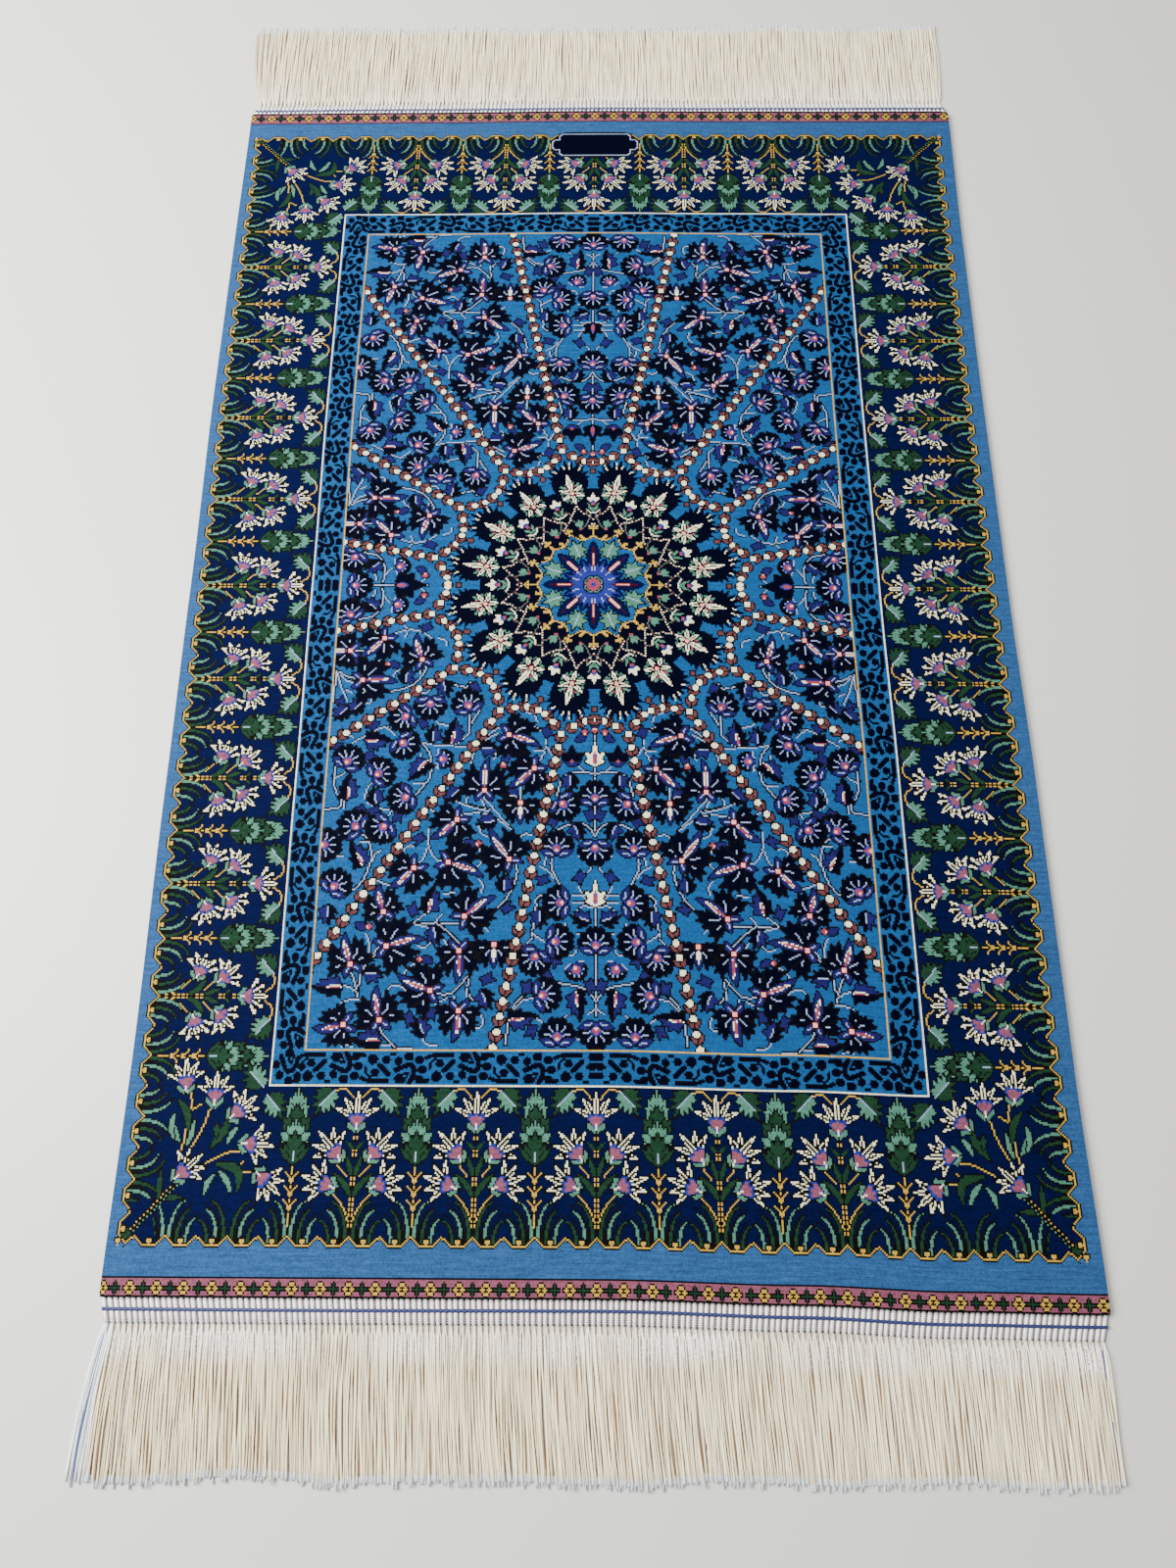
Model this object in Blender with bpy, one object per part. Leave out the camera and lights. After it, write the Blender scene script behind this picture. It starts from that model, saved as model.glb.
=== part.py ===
"""Small Persian silk rug, lying flat on the floor.

Five pieces: the knotted pile, which carries the borders and the overcast sides;
a narrow flat-woven heading at each end; and a warp fringe at each end, whose
strands grow out of a thin knotting strip.

Frame: metres, +Z up, +Y towards the far end. The origin is on the floor, in the
middle of the rug's outline.
"""

import math

import bmesh
import bpy

MM = 0.001

# Outline. The ends are counted from the origin, before their drift.
PILE_HALF_WIDTH = 0.2985
PILE_NEAR_END = -0.4680
PILE_FAR_END = 0.4635
FRINGE_REACH = 0.5690

# Heights above the floor.
PILE_THICKNESS = 0.0035
PILE_ROUNDING = 0.0012
HEADING_THICKNESS = 0.0012
STRAND_THICKNESS = 0.0011

# What is woven past the pile. The headings draw in towards the fringe.
NEAR_HEADING_DEPTH = 0.0145
FAR_HEADING_DEPTH = 0.0115
HEADING_PULL_IN = 0.0040
STRIP_DEPTH = 0.0020
SEAM_GAP = 0.0003

# Fringe. A strand takes this share of its pitch, and thins towards its tip.
STRANDS = 150
STRAND_SHARE = 0.62
STRAND_STEPS = 3
TIP_WIDTH_SHARE = 0.60
TIP_HEIGHT_SHARE = 0.70
LENGTH_VARIATION = 0.0050
SWAY = 0.0014

# Grids of the woven slabs.
PILE_COLUMNS = 12
PILE_ROWS = 18
HEADING_COLUMNS = 24

# How far each side strays outwards from straight, in mm, from the near end (0) to the far end (1).
SIDE_STATION, LEFT_DRIFT, RIGHT_DRIFT = range(3)
SIDE_DRIFT = (
    (0.00, -3.0, 4.5),
    (0.15, -4.0, 2.0),
    (0.35, -2.0, 1.5),
    (0.50, -1.0, -0.5),
    (0.70, 1.0, -1.0),
    (0.85, 1.0, -0.5),
    (1.00, 0.5, 1.0),
)

# How far each end strays outwards from straight, in mm, from the left side (0) to the right side (1).
END_STATION, NEAR_DRIFT, FAR_DRIFT = range(3)
END_DRIFT = (
    (0.00, 0.0, -1.5),
    (0.25, 0.0, -0.5),
    (0.50, 0.0, 1.0),
    (0.70, 2.5, 0.0),
    (0.85, 5.5, -0.5),
    (1.00, 6.5, -0.5),
)

# Colours as RGB, and roughness.
FIELD_BLUE = (0.035, 0.150, 0.420, 1.0)
HEADING_IVORY = (0.820, 0.790, 0.740, 1.0)
FRINGE_CREAM = (0.760, 0.690, 0.580, 1.0)
SILK_ROUGHNESS = 0.60


def drift(table, station, column, at):
    """Reads a drift column at a share from 0 to 1, easing smoothly between its rows, in metres."""
    at = min(max(at, 0.0), 1.0)
    for low, high in zip(table, table[1:]):
        if at <= high[station]:
            share = (at - low[station]) / (high[station] - low[station])
            share = share * share * (3 - 2 * share)
            return (low[column] + (high[column] - low[column]) * share) * MM


def pile_point(u, v):
    """The floor point at share u from the left side and share v from the near end."""
    left = -PILE_HALF_WIDTH - drift(SIDE_DRIFT, SIDE_STATION, LEFT_DRIFT, v)
    right = PILE_HALF_WIDTH + drift(SIDE_DRIFT, SIDE_STATION, RIGHT_DRIFT, v)
    near = PILE_NEAR_END - drift(END_DRIFT, END_STATION, NEAR_DRIFT, u)
    far = PILE_FAR_END + drift(END_DRIFT, END_STATION, FAR_DRIFT, u)
    return left + (right - left) * u, near + (far - near) * v


class RugEnd:
    """What lies past the pile at one end. outwards is -1 at the near end and 1 at the far end."""

    def __init__(self, name, outwards, heading_depth, splay_left, splay_right):
        self.name = name
        self.outwards = outwards
        self.heading_depth = heading_depth
        self.splay_left = splay_left
        self.splay_right = splay_right

    def point(self, u, past):
        """The floor point at share u from the left side, a distance past the pile's edge."""
        x, y = pile_point(u, 0.5 + 0.5 * self.outwards)
        pulled_in = HEADING_PULL_IN / PILE_HALF_WIDTH * min(past / self.heading_depth, 1.0)
        return x * (1 - pulled_in), y + self.outwards * past

    def heading_point(self, u, v):
        """A point of the heading, from the pile (v = 0) to the fringe (v = 1)."""
        return self.point(u, SEAM_GAP + (self.heading_depth - SEAM_GAP) * v)

    def strip_point(self, u, v):
        """A point of the knotting strip, from the heading (v = 0) to the strands (v = 1)."""
        return self.point(strip_line(u), self.heading_depth + SEAM_GAP + STRIP_DEPTH * v)

    def strand_point(self, index, share):
        """The middle of one strand, from its root (0) to its cut tip (1)."""
        u = strand_middle(index)
        x, root = self.strip_root(u)
        uneven = 0.0 if index == STRANDS // 2 else 0.5 + 0.5 * math.sin(2.4 * index + self.outwards)
        tip = self.outwards * (FRINGE_REACH - LENGTH_VARIATION * uneven)
        side = 2 * u - 1
        opened = math.sin(share * math.pi / 2)
        splay = (self.splay_right if side > 0 else self.splay_left) * abs(side) ** 6
        sway = SWAY * math.sin(3 * share + 19 * u) * (1 - side**4)
        return x + (splay + sway) * opened, root + (tip - root) * share

    def strip_root(self, u):
        """Where a strand leaves the strip."""
        return self.point(u, self.heading_depth + SEAM_GAP + STRIP_DEPTH)


def strand_pitch():
    """The pitch as a share of the rug's width, with a gap outside the last strand too."""
    return 1 / (STRANDS + 1 - STRAND_SHARE)


def strip_line(u):
    """Moves an even division of the strip to the edge of its strand or gap."""
    line = round(u * (2 * STRANDS + 1))
    return strand_pitch() * (line // 2 + line % 2 * (1 - STRAND_SHARE))


def strand_middle(index):
    return strand_pitch() * (index + 1 - STRAND_SHARE / 2)


def silk(name, colour):
    """A plain silk finish."""
    made = bpy.data.materials.new(name)
    made.use_nodes = True
    shader = made.node_tree.nodes["Principled BSDF"]
    shader.inputs["Base Color"].default_value = colour
    shader.inputs["Roughness"].default_value = SILK_ROUGHNESS
    made.diffuse_color = colour
    return made


def finished(name, bm, colour):
    """Turns a bmesh into a named object with its own material."""
    bmesh.ops.recalc_face_normals(bm, faces=bm.faces)
    mesh = bpy.data.meshes.new(name)
    bm.to_mesh(mesh)
    bm.free()
    mesh.materials.append(silk(name + "_silk", colour))
    made = bpy.data.objects.new(name, mesh)
    bpy.context.scene.collection.objects.link(made)
    return made


def slab(columns, rows, place, thickness):
    """A closed flat slab with its floor points at place(u, v). Returns the bmesh, its top and its wall at v = 1."""
    bm = bmesh.new()
    bmesh.ops.create_grid(bm, x_segments=columns, y_segments=rows, size=0.5)
    raised = bmesh.ops.extrude_face_region(bm, geom=bm.faces[:])["geom"]
    top_verts = [item for item in raised if isinstance(item, bmesh.types.BMVert)]
    bmesh.ops.translate(bm, verts=top_verts, vec=(0, 0, thickness))
    top = [item for item in raised if isinstance(item, bmesh.types.BMFace)]
    outer_wall = [face for face in bm.faces if min(vert.co.y for vert in face.verts) > 0.499]
    for vert in bm.verts:
        vert.co.x, vert.co.y = place(vert.co.x + 0.5, vert.co.y + 0.5)
    return bm, top, outer_wall


def rim_of(faces):
    """The edges round a patch of faces."""
    patch = set(faces)
    edges = {edge for face in faces for edge in face.edges}
    return [edge for edge in edges if sum(face in patch for face in edge.link_faces) == 1]


def make_pile():
    """The knotted body: one flat slab with its upper edge rounded by the nap and the overcasting."""
    bm, top, _ = slab(PILE_COLUMNS, PILE_ROWS, pile_point, PILE_THICKNESS)
    bmesh.ops.bevel(
        bm,
        geom=rim_of(top),
        offset=PILE_ROUNDING,
        segments=2,
        profile=0.5,
        affect="EDGES",
        material=-1,
    )
    made = finished("pile", bm, FIELD_BLUE)
    made.data.shade_smooth()
    made.data.set_sharp_from_angle(angle=math.radians(50))


def make_heading(end):
    """The flat-woven band between the pile and the fringe."""
    bm, _, _ = slab(HEADING_COLUMNS, 1, end.heading_point, HEADING_THICKNESS)
    finished(end.name + "_heading", bm, HEADING_IVORY)


def left_to_right(faces):
    return sorted(faces, key=lambda face: face.calc_center_median().x)


def set_section(face, centre, width, height):
    """Moves a strand's newest end to its place, standing on the floor."""
    middle = face.calc_center_median()
    for vert in face.verts:
        side = 0.5 if vert.co.x > middle.x else -0.5
        top = vert.co.z > middle.z
        vert.co = (centre[0] + side * width, centre[1], height if top else 0.0)


def make_fringe(end):
    """The knotting strip, whose outer wall is drawn out into the strands at every second division."""
    bm, _, outer_wall = slab(2 * STRANDS + 1, 1, end.strip_point, STRAND_THICKNESS)
    root_width = 2 * PILE_HALF_WIDTH * STRAND_SHARE * strand_pitch()
    tips = left_to_right(outer_wall)[1::2]
    for step in range(1, STRAND_STEPS + 1):
        share = step / STRAND_STEPS
        width = root_width * (1 - (1 - TIP_WIDTH_SHARE) * share)
        height = STRAND_THICKNESS * (1 - (1 - TIP_HEIGHT_SHARE) * share)
        tips = left_to_right(bmesh.ops.extrude_discrete_faces(bm, faces=tips)["faces"])
        for index, tip in enumerate(tips):
            set_section(tip, end.strand_point(index, share), width, height)
    finished(end.name + "_fringe", bm, FRINGE_CREAM)


def main():
    for item in list(bpy.data.objects):
        bpy.data.objects.remove(item)
    near = RugEnd("near", -1, NEAR_HEADING_DEPTH, splay_left=-0.0122, splay_right=0.0010)
    far = RugEnd("far", 1, FAR_HEADING_DEPTH, splay_left=-0.01055, splay_right=0.0030)
    make_pile()
    for end in (near, far):
        make_heading(end)
        make_fringe(end)


main()
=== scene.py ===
"""Looks of a small Persian silk rug: its knotted pile, flat-woven headings, warp fringes, floor, light and camera.

The pile's design is charted knot by knot. Each motif is drawn by a short method of its own, in knots, and repeated
round the medallion or along the border. One quarter is charted and mirrored, and only its two middle tulips differ
between the near half and the far one. A path is a list of (across, along) points in knots, or the same points
written out as across,along with spaces between them.
"""

import copy
import enum
import logging
import math
from dataclasses import dataclass, replace

import bmesh
import bpy
import numpy as np
from mathutils import Matrix, Vector


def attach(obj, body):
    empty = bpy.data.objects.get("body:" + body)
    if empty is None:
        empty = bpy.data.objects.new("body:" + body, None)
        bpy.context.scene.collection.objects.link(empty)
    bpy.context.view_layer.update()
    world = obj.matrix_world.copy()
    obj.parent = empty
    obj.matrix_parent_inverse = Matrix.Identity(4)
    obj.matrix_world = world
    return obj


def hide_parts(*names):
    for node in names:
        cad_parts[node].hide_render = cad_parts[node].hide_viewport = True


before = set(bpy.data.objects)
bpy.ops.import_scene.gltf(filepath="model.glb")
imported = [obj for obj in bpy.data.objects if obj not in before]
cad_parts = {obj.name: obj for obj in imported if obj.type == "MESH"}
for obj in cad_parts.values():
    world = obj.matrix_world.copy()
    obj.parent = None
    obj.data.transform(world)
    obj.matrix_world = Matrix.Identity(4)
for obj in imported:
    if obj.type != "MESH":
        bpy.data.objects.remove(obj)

LOG = logging.getLogger("rug")
MM = 0.001
# The largest share that still lies in the last row or column.
UNDER_ONE = 0.99999
SIDES = (-1, 1)


class Yarn(enum.Enum):
    """The yarns of the pile, with their sRGB colours. A knot holds its yarn's number, its place in this list."""

    FIELD = (23, 66, 110)
    NAVY = (3, 8, 43)
    NIGHT = (1, 2, 16)
    UMBER = (9, 8, 8)
    GOLD = (164, 131, 53)
    CREAM = (210, 204, 171)
    FERN = (20, 45, 29)
    JADE = (62, 103, 86)
    ROSE = (109, 62, 77)
    PINK = (121, 52, 68)
    BLUSH = (213, 148, 137)
    RUBY = (62, 3, 13)
    VIOLET = (23, 22, 73)
    MIST = (122, 135, 163)
    MAUVE = (82, 46, 48)
    ROYAL = (30, 38, 106)

    @property
    def number(self) -> int:
        """Its place among the yarns."""
        return list(Yarn).index(self)


class Taper(enum.Enum):
    """How wide a stroke is along its way, as a share of its full width, from its start to its end."""

    EVEN = (1.0, 1.0)
    LEAF = (0.25, 0.75, 1.0, 0.9, 0.55, 0.0)
    BLADE = (0.9, 1.0, 1.0, 0.85, 0.6, 0.1)
    DART = (0.6, 0.9, 1.0, 0.8, 0.5, 0.0)
    SPIKE = (1.0, 0.7, 0.35, 0.0)
    LOBE = (0.3, 0.55, 0.85, 1.0, 0.9)


FIELD, NAVY, NIGHT, UMBER, GOLD, CREAM, FERN, JADE, ROSE, PINK, BLUSH, RUBY, VIOLET, MIST, MAUVE, ROYAL = Yarn
EVEN, LEAF, BLADE, DART, SPIKE, LOBE = Taper


def rows(written: str) -> list:
    """Reads rows of numbers, with commas in a row and spaces between the rows."""
    return [[float(number) for number in row.split(",")] for row in written.split()]


def points(path: str | list, wide: float = 1.0, long: float = 1.0) -> np.ndarray:
    """A path's points as an array, one row each, scaled across and along."""
    return np.array(rows(path) if isinstance(path, str) else path, float).reshape(-1, 2) * (wide, long)


@dataclass(frozen=True)
class Spot:
    """Where a motif lies on the chart, and which way it points.

    Its heading is in degrees from the chart's far end, turning towards +X. A flipped motif is mirrored about its
    own line. Depth squeezes it along that line.
    """

    x: float
    y: float
    heading: float = 0.0
    flipped: bool = False
    depth: float = 1.0

    def chart_points(self, path: str | list) -> np.ndarray:
        """Takes a path's points to the chart, one row each.

        Args:
            path: The points in this spot's own coordinates.

        Returns:
            The points on the chart.
        """
        turn = math.radians(self.heading)
        own = points(path)
        across = own[:, 0] * (-1 if self.flipped else 1)
        along = own[:, 1] * self.depth
        x = self.x + across * math.cos(turn) + along * math.sin(turn)
        return np.stack([x, self.y - across * math.sin(turn) + along * math.cos(turn)], axis=1)

    def within(self, across: float, along: float, heading: float = 0.0, flipped: bool = False) -> "Spot":
        """A spot placed, turned and mirrored in this one's own coordinates.

        Args:
            across: How far to the right of its line, in knots.
            along: How far along its line.
            heading: Degrees, to its right.
            flipped: Whether the new spot is mirrored.

        Returns:
            The new spot.
        """
        x, y = self.chart_points([(across, along)])[0]
        turn = -heading if self.flipped else heading
        squeezed = 1 - (1 - self.depth) * abs(math.cos(math.radians(turn)))
        return Spot(x, y, self.heading + turn, self.flipped != flipped, squeezed)

    def turned(self, heading: float) -> "Spot":
        """This spot, turned to its right by so many degrees."""
        return self.within(0, 0, heading)


@dataclass(frozen=True)
class Stroke:
    """One brush stroke of a motif."""

    path: str | list
    width: float
    yarn: Yarn
    taper: Taper = LEAF


def petal(
    angle: float, start: float, length: float, width: float, yarn: Yarn, bend: float = 0.0, taper: Taper = LEAF
) -> Stroke:
    """A stroke that leaves the motif's middle at an angle.

    Args:
        angle: Degrees from the motif's line, to its right.
        start: How far from the middle it starts, in knots.
        length: How long it is.
        width: Its full width.
        yarn: Its yarn.
        bend: How far its tip curls to the right.
        taper: How its width runs.

    Returns:
        The stroke.
    """
    sine, cosine = math.sin(math.radians(angle)), math.cos(math.radians(angle))
    path = [(0, start), (-0.2 * bend, start + 0.55 * length), (bend, start + length)]
    return Stroke([(x * cosine + y * sine, y * cosine - x * sine) for x, y in path], width, yarn, taper)


def smooth_way(way: np.ndarray, spacing: float = 0.4) -> np.ndarray:
    """Rounds a path's corners, and samples it at this spacing in knots or a little less.

    Args:
        way: The path's points, one row each.
        spacing: The spacing.

    Returns:
        The samples, one row each.
    """
    for _ in range(3 if len(way) > 2 else 0):
        cut = np.concatenate([way[:-1] * 0.75 + way[1:] * 0.25, way[:-1] * 0.25 + way[1:] * 0.75], axis=1)
        way = np.concatenate([way[:1], cut.reshape(-1, 2)[1:-1], way[-1:]])
    along = np.concatenate([[0.0], np.cumsum(np.linalg.norm(np.diff(way, axis=0), axis=1))])
    wanted = np.linspace(0, along[-1], max(2, int(along[-1] / spacing) + 2))
    return np.stack([np.interp(wanted, along, way[:, axis]) for axis in (0, 1)], axis=1)


class KnotChart:
    """A quarter of the design as a grid of yarn numbers, with a margin past its two axes for what crosses them."""

    MARGIN = 40

    def __init__(self, half_columns: int, half_rows: int, ground: Yarn) -> None:
        """Starts a chart of one yarn, of so many knots from its axes to its side and its end."""
        self.yarns = np.full((self.MARGIN + half_rows, self.MARGIN + half_columns), ground.number, np.int8)
        self.y, self.x = np.mgrid[-self.MARGIN : half_rows, -self.MARGIN : half_columns].astype(np.float32)

    def lay(self, mask: np.ndarray, yarn: Yarn) -> None:
        """Knots the masked cells in one yarn."""
        self.yarns[mask] = yarn.number

    def window(self, way: np.ndarray, reach: float) -> tuple | None:
        """The slices of the grid within reach of a way, or None where it lies off the chart.

        Args:
            way: The points of the way.
            reach: How far to look round them, in knots.

        Returns:
            The slices of rows and of columns, or None.
        """
        first = np.maximum(np.floor(way.min(0) - reach).astype(int) + self.MARGIN, 0)
        last = np.minimum(np.ceil(way.max(0) + reach).astype(int) + self.MARGIN + 1, self.yarns.shape[::-1])
        return None if (first >= last).any() else (slice(first[1], last[1]), slice(first[0], last[0]))

    def brush(self, spot: Spot, *strokes: Stroke, edge: Yarn | None = None, rim: float = 1.0) -> None:
        """Draws strokes with one outline round them all.

        Args:
            spot: The motif that they belong to.
            strokes: The strokes, in the order in which they cover each other.
            edge: The outline's yarn, if it has one.
            rim: The outline's width.
        """
        drawn = []
        for stroke in strokes:
            way = smooth_way(spot.chart_points(stroke.path))
            found = self.window(way, stroke.width / 2 + rim + 1)
            if found is None:
                continue
            shares = stroke.taper.value
            radii = np.interp(np.linspace(0, len(shares) - 1, len(way)), range(len(shares)), shares)
            gaps = np.full(self.x[found].shape, np.inf, np.float32)
            for (x, y), radius in zip(way, stroke.width / 2 * radii):
                np.minimum(gaps, np.hypot(self.x[found] - x, self.y[found] - y) - radius, out=gaps)
            drawn.append((found, gaps, stroke.yarn))
        if edge is not None:
            for found, gaps, _ in drawn:
                self.yarns[found][gaps <= rim] = edge.number
        for found, gaps, yarn in drawn:
            self.yarns[found][gaps <= 0.02] = yarn.number

    def line(
        self,
        spot: Spot,
        path: str | list,
        width: float,
        yarn: Yarn,
        edge: Yarn | None = None,
        rim: float = 1.0,
        taper: Taper = EVEN,
    ) -> None:
        """Draws one stroke, even in width unless a taper is given."""
        self.brush(spot, Stroke(path, width, yarn, taper), edge=edge, rim=rim)

    def dot(
        self,
        spot: Spot,
        across: float,
        along: float,
        radius: float,
        yarn: Yarn,
        edge: Yarn | None = None,
        rim: float = 1.0,
    ) -> None:
        """Draws a round dot."""
        self.line(spot, [(across, along)] * 2, 2 * radius, yarn, edge, rim)

    def patch(self, spot: Spot, corners: list, yarn: Yarn, edge: Yarn | None = None, rim: float = 1.0) -> None:
        """Fills a shape with sharp corners.

        Args:
            spot: The motif that it belongs to.
            corners: Its corners, as a path round it.
            yarn: Its yarn.
            edge: Its outline's yarn, if it has one.
            rim: The outline's width.
        """
        ring = spot.chart_points(corners)
        found = self.window(ring, rim + 1)
        if found is None:
            return
        x, y = self.x[found], self.y[found]
        inside = np.zeros(x.shape, bool)
        gap = np.full(x.shape, np.inf)
        for (x0, y0), (x1, y1) in zip(ring, np.roll(ring, -1, axis=0)):
            rise = y1 - y0 if y1 != y0 else 1e-9
            inside ^= ((y0 > y) != (y1 > y)) & (x < x0 + (y - y0) * (x1 - x0) / rise)
            length = max((x1 - x0) ** 2 + (y1 - y0) ** 2, 1e-9)
            share = np.clip(((x - x0) * (x1 - x0) + (y - y0) * (y1 - y0)) / length, 0, 1)
            gap = np.minimum(gap, np.hypot(x - x0 - share * (x1 - x0), y - y0 - share * (y1 - y0)))
        if edge is not None:
            self.yarns[found][gap <= rim] = edge.number
        self.yarns[found][inside] = yarn.number

    def crest(
        self, spot: Spot, half: str, yarn: Yarn, edge: Yarn | None = None, rim: float = 1.0, size: tuple = (1, 1)
    ) -> None:
        """Fills a shape that is the same on both sides of its spot's line, from its right half alone.

        Args:
            spot: The motif that it belongs to.
            half: The right half's corners, from its line and back to it.
            yarn: Its yarn.
            edge: Its outline's yarn, if it has one.
            rim: The outline's width.
            size: Scales across and along.
        """
        right = points(half, *size)
        left = right[::-1] * (-1, 1)
        self.patch(spot, np.concatenate([right, left[left[:, 0] != 0]]), yarn, edge, rim)

    def thread(
        self,
        spot: Spot,
        path: str | list,
        yarn: Yarn,
        shade: Yarn | None = None,
        offset: float = 0.0,
        broken: int = 0,
    ) -> None:
        """Draws a line one knot wide.

        Args:
            spot: The motif that it belongs to.
            path: Its path.
            yarn: Its yarn.
            shade: The yarn of the outline on its shaded side, if it has one.
            offset: How far the line runs to the right of its path.
            broken: Leaves out every knot of this count, where it is above 0.
        """
        way = smooth_way(spot.chart_points(path), 0.5)
        ahead = np.gradient(way, axis=0)
        ahead /= np.maximum(np.linalg.norm(ahead, axis=1, keepdims=True), 1e-6)
        way = way + offset * np.stack([ahead[:, 1], -ahead[:, 0]], axis=1)
        cells = np.rint(way).astype(int) + self.MARGIN
        cells = cells[np.append(True, np.any(cells[1:] != cells[:-1], axis=1))]
        kept = list(cells[:1])
        for cell, after in zip(cells[1:], np.append(cells[2:], cells[-1:], axis=0)):
            if np.abs(after - kept[-1]).max() > 1:
                kept.append(cell)
        cells = np.array(kept + list(cells[-1:]))
        if broken:
            cells = cells[np.arange(len(cells)) % broken > 0]
        inside = ((cells > 0) & (cells < np.array(self.yarns.shape[::-1]))).all(1)
        column, row = cells[inside].T
        if shade is not None:
            self.yarns[row, column - 1] = shade.number
            self.yarns[row - 1, column] = shade.number
        self.yarns[row, column] = yarn.number

    def whole(self, near: "KnotChart") -> np.ndarray:
        """The whole design, with row 0 at the near end: the near half's quarter and this one, each mirrored.

        Args:
            near: The near half's quarter.

        Returns:
            Yarn numbers, one row per row of knots.
        """
        halves = []
        for chart in (near, self):
            quarter = chart.yarns[self.MARGIN :, self.MARGIN :]
            halves.append(np.concatenate([quarter[:, :0:-1], quarter], axis=1))
        return np.concatenate([halves[0][:0:-1], halves[1]], axis=0)


HERE = Spot(0, 0)


class Drawing:
    """A part of the design, drawn on a chart."""

    def __init__(self, chart: KnotChart) -> None:
        """Takes the chart that it is drawn on."""
        self.chart = chart


class Medallion(Drawing):
    """The round medallion: a star, a scalloped gold line and sixteen lobes with a lily in each."""

    SPOKES = range(-2, 7)
    SPOKE_TURN = 22.5
    GROUND_RADIUS = 84
    LOBE_AT = 89.5
    LOBE_RADIUS = 13.9
    SPIKE_TURN = 15.5
    RING_RADIUS = 38.5
    RING_CUSPS = (41.5, 46.0)
    TREFOIL_AT = 48

    @classmethod
    def on_spoke(cls, spoke: float, radius: float, turned: float = 0.0) -> Spot:
        """A spot on one of the sixteen spokes, so many knots out, that faces outwards and is then turned."""
        angle = cls.SPOKE_TURN * spoke
        return Spot(radius * math.sin(math.radians(angle)), radius * math.cos(math.radians(angle)), angle + turned)

    def draw(self) -> None:
        """Draws it from its ground to its middle."""
        self.body()
        self.gold_ring()
        for spoke in self.SPOKES:
            self.cluster(self.on_spoke(spoke + 0.5, 51))
            self.lattice(self.on_spoke(spoke + 0.5, 0))
        for spoke in self.SPOKES:
            self.lobe_lily(self.on_spoke(spoke + 0.5, 80.5, turned=4))
            self.tulip(self.on_spoke(spoke, 72))
        self.star()

    def body(self) -> None:
        """The black ground, its lobes and their serrated edge."""
        chart = self.chart
        chart.lay(np.hypot(chart.x, chart.y) < self.GROUND_RADIUS, NIGHT)
        for spoke in self.SPOKES:
            lobe = self.on_spoke(spoke + 0.5, self.LOBE_AT)
            chart.dot(lobe, 0, 0, self.LOBE_RADIUS, NIGHT)
            for step in range(-5, 6):
                reach = min(self.LOBE_RADIUS + (6 if step % 2 else 9.5), 31 - 3 * abs(step))
                root = self.LOBE_RADIUS - 3
                chart.brush(lobe, petal(self.SPIKE_TURN * step, root, reach - root, 4.6, NIGHT, taper=SPIKE))
            for step in (-3, -1, 0, 2):
                angle = math.radians(self.SPIKE_TURN * step + 7)
                reaches = (self.LOBE_RADIUS - 1.5, self.LOBE_RADIUS + 2.5 + 1.5 * (step % 2))
                dash = [(reach * math.sin(angle), reach * math.cos(angle)) for reach in reaches]
                chart.thread(lobe, dash, CREAM, NIGHT, broken=4)

    def gold_ring(self) -> None:
        """The blue ground in the middle, the gold scalloped line round it and its small gold flowers."""
        chart = self.chart
        angle = np.degrees(np.arctan2(chart.x, chart.y)) / self.SPOKE_TURN
        share = np.abs(angle - np.rint(angle)) * 2
        cusp = np.where(np.rint(angle) % 2 == 1, self.RING_CUSPS[1], self.RING_CUSPS[0])
        line = self.RING_RADIUS + (cusp - self.RING_RADIUS) * (1 - np.sin(share * math.pi / 2))
        for past, yarn in ((0.8, GOLD), (-0.3, UMBER), (-1.0, FIELD)):
            chart.lay(np.hypot(chart.x, chart.y) < line + past, yarn)
        for spoke in self.SPOKES:
            trefoil = self.on_spoke(spoke, self.TREFOIL_AT)
            chart.line(trefoil, [(0, self.RING_CUSPS[spoke % 2] - self.TREFOIL_AT), (0, 2)], 1.4, GOLD)
            for across, along in ((-1.9, 0.2), (1.9, 0.2), (0, 1.9)):
                chart.dot(trefoil, across, along, 1.1, GOLD)
            chart.line(self.on_spoke(spoke + 0.5, 39), "0,0 0,2.2 1.3,3.2", 2.2, GOLD)

    def star(self) -> None:
        """The navy petals, ivy leaves, pink rays, purple star and round eye in the middle."""
        chart = self.chart
        middle = [self.on_spoke(spoke, 0) for spoke in range(-4, 9)]
        for spot in middle[::2]:
            chart.brush(spot, petal(0, 14, 23, 9.5, NAVY), edge=NIGHT, rim=0.6)
        for spot in middle[1::2]:
            self.ivy(spot.within(0, 30.5))
            chart.brush(spot, petal(0, 12, 12, 7, NAVY))
        for index, spot in enumerate(middle):
            for angle, reach in ((0, 14), (self.SPOKE_TURN / 2, 11)):
                chart.brush(spot.turned(angle), petal(0, 8, reach, 5.4, ROYAL, taper=SPIKE))
            chart.thread(spot.turned(5), "0,12 0,16", MIST)
            if index % 2 == 0:
                chart.thread(spot, "0,14 0,32", RUBY)
                chart.line(spot, "0,17 0,26", 1.9, BLUSH, RUBY, 0.5)
        eye = ((10.8, ROYAL), (7.8, NIGHT), (6.9, JADE), (6.0, NIGHT), (5.2, PINK), (1.4, ROYAL))
        for radius, yarn in eye:
            chart.dot(HERE, 0, 0, radius, yarn)

    def ivy(self, spot: Spot) -> None:
        """A sea-green leaf with five points and a pale vein."""
        self.chart.crest(spot, "0,10 1.6,5 6.6,6 4.4,2.4 7.6,-1.4 3.6,-1.8 4,-6.4 1,-4.4 0,-6.6", JADE, UMBER)
        self.chart.thread(spot, "0,-4 0,5", MIST)

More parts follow.
